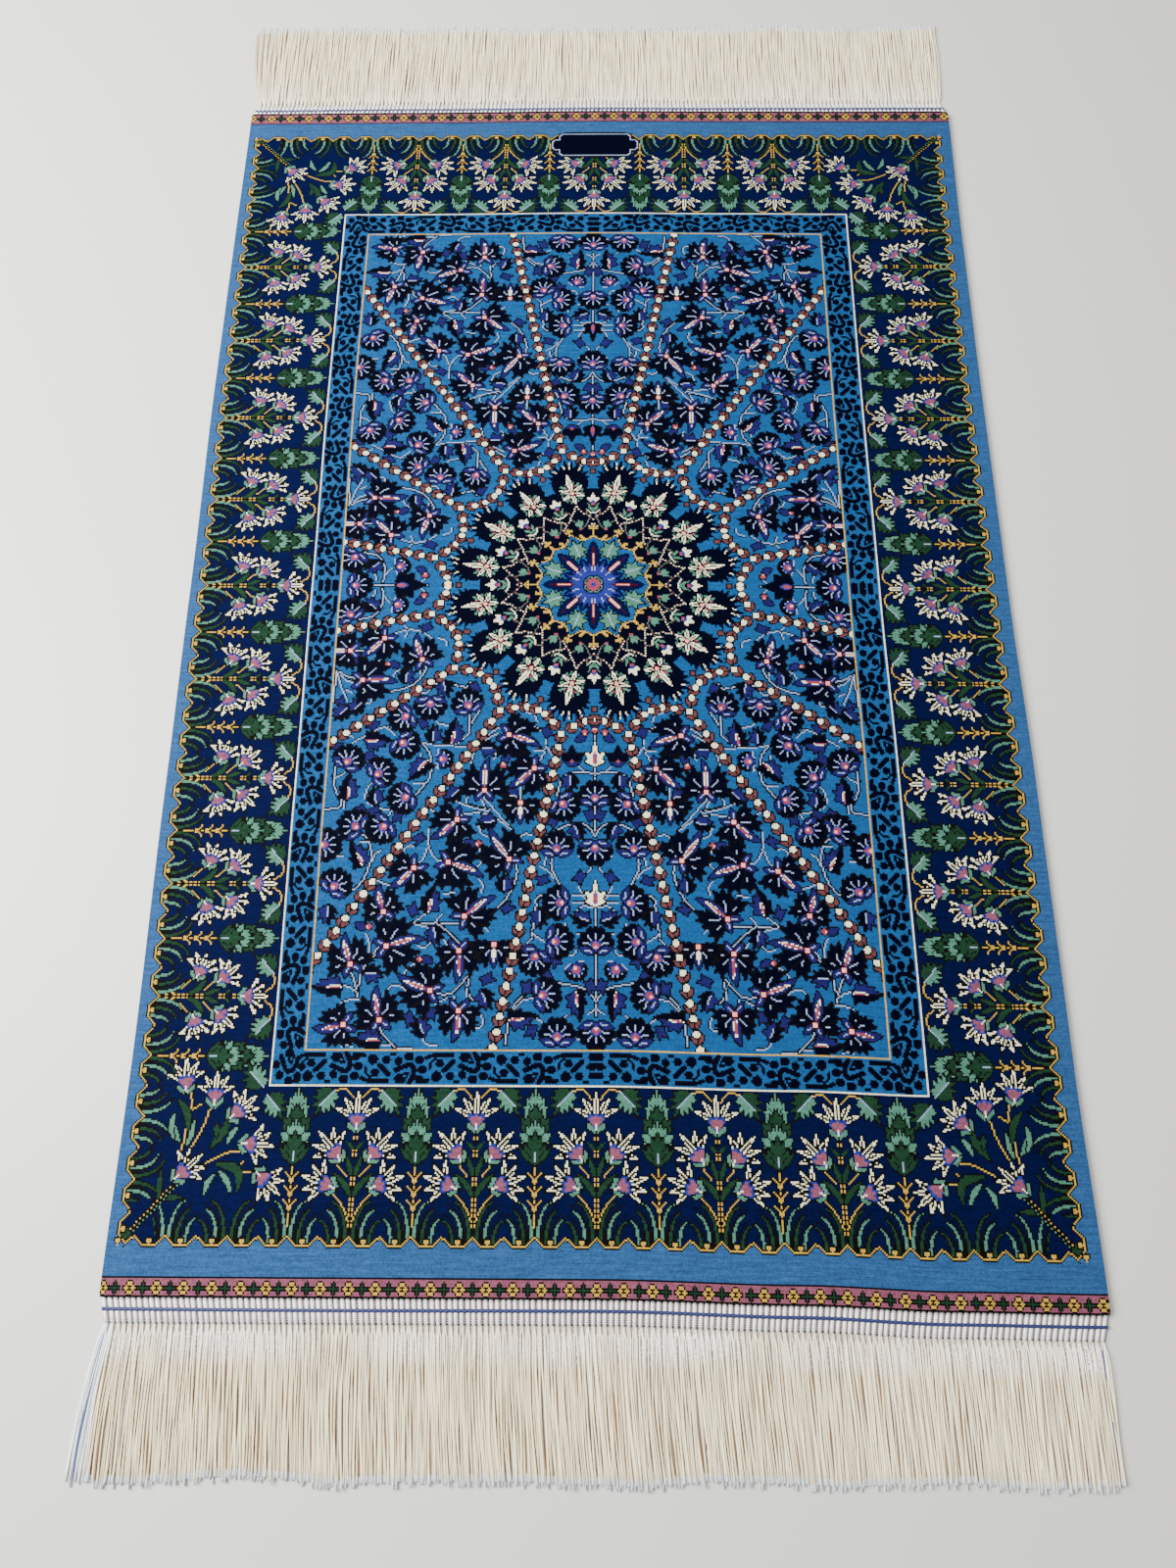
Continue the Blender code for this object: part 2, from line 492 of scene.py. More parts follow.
    def cluster(self, spot: Spot) -> None:
        """Three small leaves on a pink base."""
        self.chart.brush(spot, *[petal(angle, -1, reach, 3.4, JADE) for angle, reach in ((0, 7), (-38, 6), (38, 6))])
        self.chart.dot(spot, 0, -2.5, 1.3, PINK)

    def lattice(self, middle: Spot) -> None:
        """The thin angular stems between the clusters and the flowers, from the medallion's middle.

        Args:
            middle: The medallion's middle.
        """
        main = ("-1.2,69 8.5,53.8", "-11.8,53.5 -9.5,57.4 -4.2,62.2 -1.2,69", "8.5,53.8 12.5,49")
        side = ("-13.6,65.4 -5.1,50.7 -1.1,48.5", "5.8,58 1.2,54", "3.5,61.5 8,64.5 10.5,62", "-6.8,60 -7.4,65")
        for path in main + side:
            way = points(path)
            for ends in zip(way, way[1:]):
                self.chart.thread(middle, ends, MAUVE)
                self.chart.thread(middle, ends, CREAM if path in main else JADE, broken=2)

    def tulip(self, spot: Spot) -> None:
        """A cream tulip with a pink and blue core, two leaves and a small crossbar.

        Args:
            spot: Where it lies, and which way it points.
        """
        chart = self.chart
        for side in SIDES:
            chart.line(spot, points("0,-9 2.2,-6 4,-2", side), 2.2, JADE, NIGHT, 0.6, LEAF)
            chart.thread(spot, points("0,-10.5 3,-10 4.5,-8.5", side), CREAM)
        chart.brush(spot, *[petal(angle, -1, reach, 3.5, CREAM) for angle, reach in ((0, 8), (-52, 6.5), (52, 6.5))])
        chart.dot(spot, 0, -1, 2.0, ROYAL)
        chart.dot(spot, 0, -2.2, 1.4, PINK)

    def lobe_lily(self, spot: Spot) -> None:
        """A cream lily with slit petals, and sea-green leaves between them.

        Args:
            spot: Where it lies, and which way it points.
        """
        chart = self.chart
        for angle in (-29, 29, -90, 90, -150, 150):
            for swing in (-13, 13):
                leaf = petal(angle + swing, 4.5, 5.5 if abs(angle) < 90 else 3.5, 2.2, JADE, taper=LOBE)
                chart.brush(spot, leaf, edge=NIGHT, rim=0.5)
        for side in SIDES:
            chart.brush(spot, petal(29 * side, 3, 4, 1.8, PINK, taper=EVEN))
        petals = "-60,9.5,2.9 60,9.5,2.9 -118,9,2.9 118,9,2.9 180,9,3.1 0,16.5,4.2"
        for angle, reach, width in rows(petals):
            chart.brush(spot, petal(angle, 1, reach, width, CREAM), edge=NIGHT)
            slit = spot.turned(angle)
            chart.thread(slit, [(0, 0.36 * reach), (0, 0.7 * reach)], NIGHT)
            chart.thread(slit, [(0, 0), (0, 0.24 * reach)], RUBY)
        chart.dot(spot, 0, 0, 1.3, BLUSH, RUBY)


class Flora(Drawing):
    """The flowers, buds and leaves of the field, each drawn at a spot of its own."""

    PETAL = "-1,0 -2.4,4 -4.6,7 -3.4,8.4 -5.6,12 -4,12.4 -5.4,18.4 -1.6,15.4 0.4,18.6 2,14.6 5,15.2 4,10 3.2,5 1,0"
    FAN = (
        "0,12.6 1.6,10.4 3.6,12.4 5.6,10.8 5.2,8.4 8.4,9 9.8,6.6 7.8,4.6 11.4,4 11.2,1 8.2,0.2 9.6,-2.6 6,-4 0,-2"
    )
    SEPAL = "0,-2 3.4,-2.4 6.6,0.4 11,-1 8.6,-4 4.4,-6 0,-4.6"

    def torn_petals(self, spot: Spot, *petals: tuple) -> None:
        """Broad black petals with a serrated side and a hooked tip, each (angle, size).

        Args:
            spot: Where it lies, and which way it points.
            petals: The petals.
        """
        for angle, size in petals:
            own = spot.within(0, 0, angle, flipped=(angle > 0) == (abs(angle) > 60))
            self.chart.patch(own, points(self.PETAL, size, size), NIGHT, UMBER)
            self.chart.thread(own, [(0, 5 * size), (0.6, 8 * size), (0, 11 * size)], MIST)

    def star_lily(self, spot: Spot, length: float = 22) -> None:
        """A dark lily of four black petals, two small purple ones and a long purple one, of the length given.

        Args:
            spot: Where it lies, and which way it points.
            length: How long its long petal is, in knots.
        """
        chart = self.chart
        sizes = ((-84, 0.88), (84, 0.88), (-42, 1.04), (42, 1.04))
        self.torn_petals(spot, *[(angle, size * length / 22) for angle, size in sizes])
        for side in SIDES:
            chart.brush(spot, petal(137 * side, 1, 8.5, 4.2, VIOLET, side), edge=UMBER)
            chart.thread(spot.turned(137 * side), "0,2 0,6", MIST)
        chart.brush(spot, petal(0, 1, length, 6.4, VIOLET, 2.5), edge=UMBER)
        chart.brush(spot, petal(0, 2, 0.74 * length, 3.0, CREAM))
        chart.brush(spot, petal(0, 2.5, 0.64 * length, 2.0, PINK))
        chart.dot(spot, 0, 0, 1.5, BLUSH, RUBY)

    def small_lily(self, spot: Spot) -> None:
        """A star lily seen from the side, with a short pale core and no small petals.

        Args:
            spot: Where it lies, and which way it points.
        """
        self.torn_petals(spot, (-80, 0.82), (80, 0.82), (-36, 0.82), (36, 0.82))
        self.chart.brush(spot, petal(0, 1, 14, 5, VIOLET), edge=UMBER)
        self.chart.brush(spot, petal(0, 2, 9, 2.8, CREAM))
        self.chart.dot(spot, 0, 0, 1.5, BLUSH, RUBY)

    def daisy(self, spot: Spot, size: float = 1.0) -> None:
        """A black fan of seven lobes with white rays, a pink core and two purple sepals, at a size.

        Args:
            spot: Where it lies, and which way it points.
            size: Its scale.
        """
        chart = self.chart
        chart.crest(spot, self.FAN, NIGHT, UMBER, size=(size, size))
        for side in SIDES:
            chart.patch(spot, points(self.SEPAL, side * size, size), VIOLET, UMBER)
            chart.thread(spot, points("3,-3.8 6.6,-2.6", side), MIST)
        for angle in (-74, -37, 0, 37, 74):
            chart.thread(spot.turned(angle), [(0, 4.6), (0, 8.4 * size)], MIST)
        chart.crest(spot, "0,4.4 1.8,3.4 3.6,2.4 3.2,-0.6 0,-3.4", ROYAL)
        chart.crest(spot, "0,3.2 1.4,2.6 2.6,1.2 2.2,-0.8 0,-2.8", PINK)
        chart.dot(spot, 0, -0.6, 1.1, BLUSH)

    @staticmethod
    def crown(reaches: str, width: float, yarn: Yarn, bend: float) -> list:
        """Petals from the middle of a flower, each written as angle,reach, that curl outwards."""
        return [petal(angle, 0, reach, width, yarn, bend * np.sign(angle)) for angle, reach in rows(reaches)]

    def tulip(self, spot: Spot, yarn: Yarn) -> None:
        """A tulip with five points in a yarn of its own, and a pink core.

        Args:
            spot: Where it lies, and which way it points.
            yarn: Its petals' yarn.
        """
        base = spot.within(0, -8)
        petals = self.crown("-62,7 62,7 -30,10.5 30,10.5 0,16", 4.0, yarn, 1.5)
        self.chart.brush(base, Stroke("0,2 0,6", 6.5, yarn, EVEN), *petals, edge=UMBER)
        self.chart.line(base, "0,0 0,9", 3.6, ROYAL, taper=LEAF)
        self.chart.line(base, "0,0 0,8", 2.6, PINK, taper=LEAF)

    def dark_tulip(self, spot: Spot) -> None:
        """A broad dark tulip whose pink core lies at its base.

        Args:
            spot: Where it lies, and which way it points.
        """
        petals = self.crown("-70,10 70,10 -35,14 35,14 0,19", 7.5, NIGHT, 2)
        self.chart.brush(spot, *petals, edge=UMBER)
        self.chart.line(spot, "0,-1 0,7", 5, ROYAL, taper=LEAF)
        self.chart.line(spot, "0,-1 0,5.5", 3.4, PINK, taper=LEAF)

    def dark_bud(self, spot: Spot) -> None:
        """A black bud of three lobes with a little pink at its base.

        Args:
            spot: Where it lies, and which way it points.
        """
        self.chart.brush(spot, *self.crown("-48,10 48,10 0,12", 5, NIGHT, 0), edge=UMBER)
        self.chart.line(spot, "-4,0 0,-1.5 5,0", 3, VIOLET, UMBER, taper=LEAF)
        self.chart.dot(spot, 0, 1.2, 1.2, PINK)

    def bud(self, spot: Spot) -> None:
        """A small round pink bud in a purple cap.

        Args:
            spot: Where it lies, and which way it points.
        """
        self.chart.brush(spot, petal(0, -1, 8, 5, VIOLET, 2), edge=UMBER)
        self.chart.dot(spot, 0, -2, 2.1, PINK, UMBER)
        self.chart.dot(spot, -0.5, -1, 0.9, BLUSH)

    def halved_leaf(self, spot: Spot, dark: str, light: str) -> None:
        """A jagged leaf with a black half and a purple one."""
        self.chart.patch(spot, dark, NIGHT, UMBER)
        self.chart.patch(spot, light, VIOLET, UMBER)

    def core_leaf(self, spot: Spot) -> None:
        """A long halved leaf with a pink stripe near its base.

        Args:
            spot: Where it lies, and which way it points.
        """
        dark = "0,-8 -3,-6.6 -6.6,-6.6 -4.4,-3 -5.8,1.6 -3.4,1 -3,6 0.6,11.4 0.6,2"
        self.halved_leaf(spot, dark, "0,-8 3,-6 6.8,-5 5,-2 7.4,1.6 4.4,1.8 5,6.4 2.6,5.2 1.2,9.4 0.6,2")
        self.chart.line(spot, "0,-7.5 0.3,-1 0.4,3", 2.4, CREAM, taper=LEAF)
        self.chart.line(spot, "0,-7 0,0", 1.6, PINK, taper=LEAF)

    def pied_leaf(self, spot: Spot) -> None:
        """A short halved leaf with a white line.

        Args:
            spot: Where it lies, and which way it points.
        """
        dark = "0,-6 -3.4,-4 -6,0.6 -3.2,-0.4 -4.2,4.4 -1.8,2.8 -0.4,8 0.4,0"
        self.halved_leaf(spot, dark, "0,-6 2.6,-4 6.4,-2.6 4,-0.6 6,3.6 3,2.4 2.8,6.6 0.6,4 0.4,0")
        self.chart.thread(spot, "0,-4 0.4,1.6", MIST)

    def chip(self, spot: Spot) -> None:
        """The smallest purple leaf, with barbs."""
        self.chart.patch(spot, "0,-4.6 2.2,-2.4 4.6,-2.4 3,0.6 1.2,5.6 -0.4,2 -3.6,2.8 -1.8,-0.8", VIOLET, UMBER)

    def bead(self, spot: Spot) -> None:
        """A cream bead in a mauve cup, facing outwards along its chain.

        Args:
            spot: Where it lies, and which way it points.
        """
        self.chart.crest(spot, "0,1 2.4,0 3.9,-0.6 3.7,1.8 2.2,4 0.6,4.6 0,3.6", MAUVE, UMBER)
        self.chart.thread(spot, "0,1 0,4.4", UMBER)
        self.chart.dot(spot, 0, -1.7, 2.25, CREAM, UMBER)


class DomeField(Drawing):
    """The blue field: bead chains that run outwards from the medallion, and flowers on stems between them."""

    HALF_WIDTH = 186
    HALF_LENGTH = 334
    EDGE_LINE = 0.6
    RIBS = (-0.5, 0.5, 1.5, 2.5, 3.5, 4.5)
    FIRST_BEAD = 121.5
    BEAD_PITCH = 9.95
    # The garland's beads beside each spoke: how far round, how far out, and which way they face.
    GARLAND = ((4.4, 108.5, 78), (8.0, 113.5, 42))
    # Places read, in the order of drawing: x, y and heading, and a small daisy's size or a lily's length.
    FLOWERS = (
        (Flora.chip, """
            34,116,180 28,182,60 4,177,180 157,133,-90 119,194,80 159,174,0 151,175,90 134,178,30 155,111,60
            122,243,180 35,223,100 59,241,-100 26,276,0 32,285,0 46,294,200 71,288,-90 41,322,45 3,293,0 10,221,60
            121,35,90 169,59,0 180,94,180 84,82,0 121,109,180 180,126,-60 120,314,0 106,311,30"""),
        (Flora.pied_leaf, """
            74,128,-90 17,153,0 58,163,100 73,182,80 97,162,45 12,188,-30 151,164,170 113,118,180 106,259,-20
            178,245,-5 146,285,-90 113,320,150 37,248,0 9,249,110 61,225,180 72,301,-30 162,17,120 134,73,185
            106,82,-20 168,97,45 178,101,45"""),
        (Flora.core_leaf, """
            153,122,-90 121,143,40 170,158,180 160,206,150 99,117,185 110,237,190 173,294,88 49,314,-100 12,304,-10
            146,328,90"""),
        (Flora.bud, "63,139,200 81,197,90 8,118,30 125,10,30 152,254,90 114,276,-90 146,64,-90 0,113,180"),
        (Flora.daisy, """
            0,165,180 22,169,-45 0,200,0 26,201,180 23,238,90 27,264,-90 0,267,180 40,274,25 35,299,-100 25,326,180
            0,321,0 172,138,205 150,147,235 134,124,-45 130,164,65 163,185,125 144,185,50 175,227,215 184,198,-90
            116,94,0 89,96,160 133,104,60 177,24,150 175,0,-90 13,282,-20,0.6 143,16,-80,0.6 106,136,-90,0.6"""),
        (Flora.star_lily, """
            60,118,-73,23 42,143,46,22 76,159,180,23 94,180,46,21 58,208,143,24 99,210,-72,25 122,214,42,20
            87,247,-129,23 141,244,162,18 90,270,-3,20 138,267,-106,25 161,279,161,20 89,309,2,19 108,296,110,23
            140,315,167,21 163,318,76,18 151,43,43,21 123,60,161,20 175,53,90,19 165,76,-92,24"""),
        (Flora.small_lily, "51,168,0 67,266,0"),
        (Flora.dark_bud, "16,139,180"),
        (Flora.dark_tulip, "143,0,-90"),
    )
    MAIN_STEMS = """
        0,140 0,155; 0,117 0,123; 0,171 0,190; 0,240 0,256; 0,273 0,312; 0,148 4,146 16,146 23,150 26,163;
        0,192 2,188 7,183 18,183 26,188; 29,206 30,214 24,226; 81,100 88,112; 88,100 88,117;
        53,210 52,220 57,232 63,240 73,249; 38,234 41,248 42,262; 120,125 114,132 113,148 117,155 126,166;
        179,138 181,148 179,160 171,171 185,173; 160,189 154,193 150,206 153,216 157,226 164,230;
        83,287 84,298 80,302; 84,287 89,294 95,299 107,298; 43,296 51,302 55,309 57,318 58,330;
        0,303 3,298 9,294 19,292 27,291; 88,252 106,252 122,252; 90,265 97,258 105,252;
        142,270 150,278 154,285 155,300; 161,283 157,291 155,300; 140,319 137,325 129,332; 147,0 168,0;
        122,0 133,0; 155,3 153,10 155,19 160,26 171,28; 119,65 122,73 129,80 138,84 147,85; 166,53 173,53;
        170,75 178,73 186,67; 184,69 185,93; 88,78 90,82 96,81 102,78
    """
    STEMS = """
        42,112 38,114 34,120 34,130 40,141; 34,127 30,133; 36,130 42,130; 40,108 42,103 48,101;
        65,112 72,115 80,124 85,133 86,140; 68,117 77,122; 72,129 68,133 70,136; 8,145 13,140;
        51,152 51,165; 55,161 59,161; 63,142 63,145; 78,161 76,165 70,172 63,180 57,186; 81,162 75,171;
        87,164 89,168 83,171 72,173; 96,166 89,170 73,174; 93,178 89,176 77,175 67,179 57,187;
        43,191 48,190 52,193; 79,184 78,190 73,192; 78,201 76,207 77,212 81,215; 78,222 75,226 76,231;
        33,206 34,212; 37,213 31,216 28,221; 10,204 12,206 9,207; 2,212 4,217 8,220; 10,224 11,229 7,235;
        0,238 6,233 15,233; 0,238 15,238; 2,241 9,240 12,243; 89,118 96,125 106,127 120,124; 81,127 97,127;
        117,154 125,154; 110,142 114,142; 121,132 121,138; 130,112 136,110 153,113 169,124; 140,118 146,113;
        169,120 174,117; 173,146 179,150; 172,163 172,172; 156,168 152,170 144,173 138,173 143,180;
        150,150 157,157 158,165; 113,187 113,200 108,208 102,210; 113,200 116,208 119,212;
        123,199 127,198 129,202; 109,175 112,173; 153,196 159,196; 145,202 149,204 150,209;
        170,206 176,206 180,203; 134,225 140,226 146,223; 94,231 101,232; 145,237 151,235;
        33,233 39,233 40,238; 42,258 34,264; 42,262 46,266; 84,295 84,301; 92,300 93,308;
        74,312 72,318 75,320 80,319; 41,301 48,302 54,309; 1,308 5,311; 35,316 40,313 46,313; 19,312 22,316;
        8,327 12,327; 13,270 14,274 21,272; 8,259 12,259; 20,252 20,256; 71,257 74,253 78,252;
        77,266 86,267; 96,268 104,258 110,255 122,252; 122,252 117,249 112,245; 102,246 106,251;
        108,259 109,266 113,269 117,267; 152,259 149,265 149,274; 141,266 146,272; 155,298 160,294 165,293;
        154,302 160,302 165,304; 138,248 138,253; 116,277 122,280 126,286 124,291; 97,301 104,305;
        124,296 128,293 134,293 137,297; 111,312 114,318; 132,331 143,330; 156,319 162,320;
        102,331 109,331 112,326; 118,333 127,333; 156,332 160,331 163,332; 122,7 125,3 131,1; 149,14 153,9;
        160,4 161,11; 117,43 122,39 130,36 139,37 147,41; 135,35 140,31; 134,37 136,42;
        106,49 106,45 112,43; 123,64 124,71; 136,71 138,68 142,69 143,73; 148,64 155,61;
        171,78 177,77 181,72; 184,69 181,79 175,92; 172,86 176,84; 157,89 158,94 162,94; 90,83 87,91;
        97,81 108,77 114,79 117,86 123,86; 102,111 110,110 113,105
    """

    def draw(self) -> None:
        """Draws the stems, pale and shaded, the flowers, the beads, and the ground past its edge line."""
        chart = self.chart
        for path in self.MAIN_STEMS.split(";"):
            chart.line(HERE, path, 3.0, UMBER)
            chart.thread(HERE, path, MIST)
        for path in self.STEMS.split(";"):
            chart.thread(HERE, path, MIST, UMBER)
        for motif, written in self.FLOWERS:
            for x, y, heading, *size in rows(written):
                motif(Flora(chart), Spot(x, y, heading), *size)
        self.bead_chains()
        beyond = np.maximum(chart.x - self.HALF_WIDTH, chart.y - self.HALF_LENGTH)
        chart.lay(beyond >= 0, GOLD)
        chart.lay(beyond > self.EDGE_LINE, FIELD)

    def bead_chains(self) -> None:
        """The chains along the ribs of the dome, and the garland that joins them round the medallion."""
        bead = Flora(self.chart).bead
        for rib in self.RIBS:
            for step in range(28):
                spot = Medallion.on_spoke(rib, self.FIRST_BEAD + self.BEAD_PITCH * step)
                if spot.x < self.HALF_WIDTH + 6 and spot.y < self.HALF_LENGTH + 6:
                    bead(spot)
        for spoke in range(-1, 6):
            for side in SIDES:
                for round_it, out, facing in self.GARLAND:
                    spot = Medallion.on_spoke(spoke, 0).turned(round_it * side).within(0, out)
                    bead(spot.turned(facing * side))
            bead(Medallion.on_spoke(spoke, 107, turned=90))
            self.chart.dot(Medallion.on_spoke(spoke, 99), 0, 0, 1.9, MAUVE, UMBER)


class Guard(Drawing):
    """The narrow blue band of black curls, bars and blobs between the field and the border."""

    DEPTH = 22.0
    REPEAT = 41.0
    FIRST_ROSETTE = 37.0
    FIRST_SET = 17.5
    EDGE_LINE = 0.6

    def draw(self) -> None:
        """Draws both of its sides, its corner and its outer line."""
        chart = self.chart
        side_middle = DomeField.HALF_WIDTH + 0.5 * self.DEPTH
        end_middle = DomeField.HALF_LENGTH + 0.5 * self.DEPTH
        for step in range(8):
            turned = step % 2 == 1
            for first, motif in ((self.FIRST_ROSETTE, self.rosette), (self.FIRST_SET, self.bars)):
                station = first + self.REPEAT * step
                if station < DomeField.HALF_WIDTH:
                    motif(Spot(station, end_middle, 0 if turned else 180, flipped=not turned))
                if station < DomeField.HALF_LENGTH:
                    motif(Spot(side_middle, station, 90 if turned else -90, flipped=turned))
        self.rosette(Spot(side_middle, end_middle, 45))
        for spot in (Spot(0, end_middle, 180), Spot(side_middle, 0, -90)):
            self.middle(spot)
        beyond = np.maximum(chart.x - DomeField.HALF_WIDTH, chart.y - DomeField.HALF_LENGTH) - self.DEPTH
        chart.lay(beyond >= 0, CREAM)
        chart.lay(beyond > self.EDGE_LINE, NAVY)

    def marks(self, spot: Spot, blobs: str, *lines: tuple) -> None:
        """Black blobs, each written as across,along,radius, and black lines, each (path, width).

        Args:
            spot: Where it lies, and which way it points.
            blobs: The blobs.
            lines: The lines.
        """
        for across, along, radius in rows(blobs):
            self.chart.dot(spot, across, along, radius, NIGHT, UMBER, 0.4)
        for path, width in lines:
            self.chart.line(spot, path, width, NIGHT, UMBER, 0.4)

    def rosette(self, spot: Spot) -> None:
        """Six blobs round a thick curl and a thin one.

        Args:
            spot: Where it lies, and which way it points.
        """
        self.marks(
            spot,
            "-6.5,5,2.5 0.2,7,2.6 6.8,4.4,2.3 -8.7,-1,2.5 -6.5,-6.9,2.3 6,-6.6,2.8",
            ("8.4,-1.4 2.5,1.2 -1.6,2.2 -3.8,-1 -2.6,-5.5 -0.5,-9", 2.6),
            ("3.5,-3.8 0.5,-2.6 0.6,-4.4 3,-8.5", 0.8),
        )

    def bars(self, spot: Spot) -> None:
        """A long bar, a tilted one, three blobs, a comma and a leaf.

        Args:
            spot: Where it lies, and which way it points.
        """
        self.marks(
            spot,
            "0,2.9,2.3 -6.8,-5,2.4 1.8,-5.2,3",
            ("-8,8.2 4,8.2 8.5,6.4", 2.0),
            ("-8.3,4.2 -2.8,-1.4", 2.6),
            ("3,5.4 6,3.6 6.4,-0.4", 1.0),
            ("7,-7.6 12,-8.6", 1.8),
            ("-12.5,-8.6 -9.5,-8.2", 0.9),
        )

    def middle(self, spot: Spot) -> None:
        """What lies at the middle of a side: a broad blob, a lozenge and another blob."""
        self.marks(spot, "", ("-2.5,7 2.5,7", 4.4), ("-3,-4.8 3,-4.8", 3.4))
        self.chart.crest(spot, "0,2.6 3.4,2.2 5.5,0.4 2.5,-0.6 0,0.2", NIGHT, UMBER)


class Border(Drawing):
    """The wide navy border: cones and clumps of lilies by turns, grass at their feet and a scalloped gold edge."""

    HALF_WIDTH = 292.0
    HALF_LENGTH = 451.5
    SCALLOP = 18.75
    CUSP = 5.2
    UNIT = 37.5
    SIDE_UNITS = 9
    END_UNITS = 5
    SIDE_SQUEEZE = 0.865
    # The corner's lilies, as across,along,heading, its stems and its leaves, read from its outer corner.
    CORNER_LILIES = "85,40,128 75,60,94 65,79,48 50,89,0 31,97,-6 35,43,45"
    CORNER_STEMS = "81,44 66,44; 71,55 62,56 46,47; 48,81 45,70 39,58; 35,91 36,82 33,56; 42,84 36,80; 72,50 68,45"
    CORNER_LEAVES = (
        ("56,48 66,47 71,42 70,32", 5.2, FERN), ("58,44 64,38 66,31", 3.4, JADE), ("55,42 51,37 50,30", 3.2, JADE),
        ("60,76 59,68 50,57", 4.6, FERN), ("53,72 54,64", 3.2, FERN), ("66,70 62,64 61,60", 3.0, JADE),
        ("28,86 34,80 36,66", 4.4, FERN), ("24,74 28,66 32,60", 3.6, JADE), ("39,74 38,64 35,58", 3.0, JADE),
        ("26,78 24,70 28,62", 3.0, JADE), ("22,27 22.5,36 21.5,45", 3.0, FERN), ("22,27 30,29 38,28", 3.0, FERN),
        ("3,7 8,9", 6.0, FERN),
    )
    # The right halves of a cone's tiers, from the lowest layer to the top one.
    CONE_TIERS = (
        ("0,86 1.8,81 3.6,84 4.4,79 7.8,81 7,76 10.4,76 8.6,72.5 10.2,70.5 6.4,66 0,66", FERN),
        ("0,94 1,89 3.2,92 3.6,86.5 6,88.5 6,82.5 8.2,83 7,79 7.4,75.5 5,79 4.4,82.5 2.6,80.5 1.4,85 0,83.5", JADE),
        (
            "0,75.5 1,71 3.2,74 3.6,69 6.3,71.5 6.4,66.5 10.8,66.5 9,62.5 11,60.5 8.2,60.5 8.6,55.5 6.6,58.5 "
            "6.4,62.5 4.6,61.5 4.6,66 2.6,64.5 1.6,68.5 0,67", JADE,
        ),
        ("0,68 2,62.5 4.6,65.5 4.6,59.5 7.8,61.5 7,56 10.6,58 8,53.4 4.4,50.4 0,48.4", FERN),
    )
    # A clump's leaves and curls on its right side.
    CLUMP_LEAVES = (
        ("0.4,29 4.5,37 11.5,43", 3.6, FERN, LEAF), ("0.4,41 2,45 4.2,53", 2.8, FERN, LEAF),
        ("0.4,56.5 2,58.5 5,61.5", 2, FERN, LEAF), ("1.5,4 2.6,13", 1.6, JADE, EVEN),
    )
    CLUMP_CURLS = ("1.5,16 4.5,24 12,32", "4.5,42 9.5,48", "2.5,87 5.5,92 8.5,93.4 13.5,93 15.5,91")
    # A blade of grass, from its tip to its foot and from the ground to its height.
    BLADE_CURVE = ((1, 0.1), (1, 0.35), (0.87, 0.62), (0.55, 0.88), (0, 1))

    def draw(self) -> None:
        """Draws both sides, the corner and the scalloped edge."""
        for base, units in ((self.end_base, self.END_UNITS), (self.side_base, self.SIDE_UNITS)):
            for unit in range(-1, units + 1):
                motif = self.cone if unit % 2 else self.clump
                motif(base(self.UNIT * unit))
            for unit in range(-1, units + 3):
                self.grass(replace(base(self.UNIT * (unit + 0.5)), flipped=unit % 2 == 0))
        self.corner()
        self.scallops()

    def end_base(self, station: float) -> Spot:
        """A spot on the outer edge of the end border, facing the field."""
        return Spot(round(station), self.HALF_LENGTH, 180)

    def side_base(self, station: float) -> Spot:
        """A spot on the outer edge of the side border, facing the field."""
        return Spot(self.HALF_WIDTH, round(station), -90, depth=self.SIDE_SQUEEZE)

    def scallops(self) -> None:
        """The gold scalloped line, and the plain blue band past it."""
        chart = self.chart
        cusps = []
        for along in (chart.x, chart.y):
            gap = np.abs(along / self.SCALLOP - np.rint(along / self.SCALLOP)) * self.SCALLOP
            cusps.append(self.CUSP * np.clip(1 - gap / 5.4, 0, 1) ** 0.9)
        inward = np.minimum(self.HALF_WIDTH - chart.x - cusps[1], self.HALF_LENGTH - chart.y - cusps[0])
        chart.lay((inward < 2.9) & (inward >= 0), UMBER)
        chart.lay((inward < 1.85) & (inward >= 0), GOLD)
        chart.lay(inward < 0.9, UMBER)
        chart.lay(inward < -0.1, FIELD)
        for base, half in ((self.end_base, self.HALF_WIDTH), (self.side_base, self.HALF_LENGTH)):
            for step in range(-1, round(half / self.SCALLOP)):
                spot = base(self.SCALLOP * (step + 0.5))
                chart.line(spot, "-0.8,4.2 0.8,4.2", 2.0, GOLD, UMBER, 0.9)
                chart.thread(spot, "0,2 0,4", GOLD)

    def grass(self, spot: Spot) -> None:
        """Six blades that arch over two scallops, and the thin outlines of others behind them.

        Args:
            spot: Where it lies, and which way it points.
        """
        for foot, tip, height in rows("-14,-3,25 -9,-1,19 9,2,20 14,5,25"):
            self.chart.thread(spot, self.blade(foot, tip, height), UMBER)
        blades = rows("-16.6,-7,27 -12,-4,22 -6.5,-0.5,16 6.2,1.5,17 11.6,5,22 16.6,8.5,27")
        for index, measures in enumerate(blades):
            yarn = JADE if index % 2 else FERN
            self.chart.line(spot, self.blade(*measures), 1.8, yarn, UMBER, 0.9, BLADE)

    def blade(self, foot: float, tip: float, height: float) -> list:
        """The path of a blade of grass."""
        return [(tip + (foot - tip) * across, height * along) for across, along in self.BLADE_CURVE]

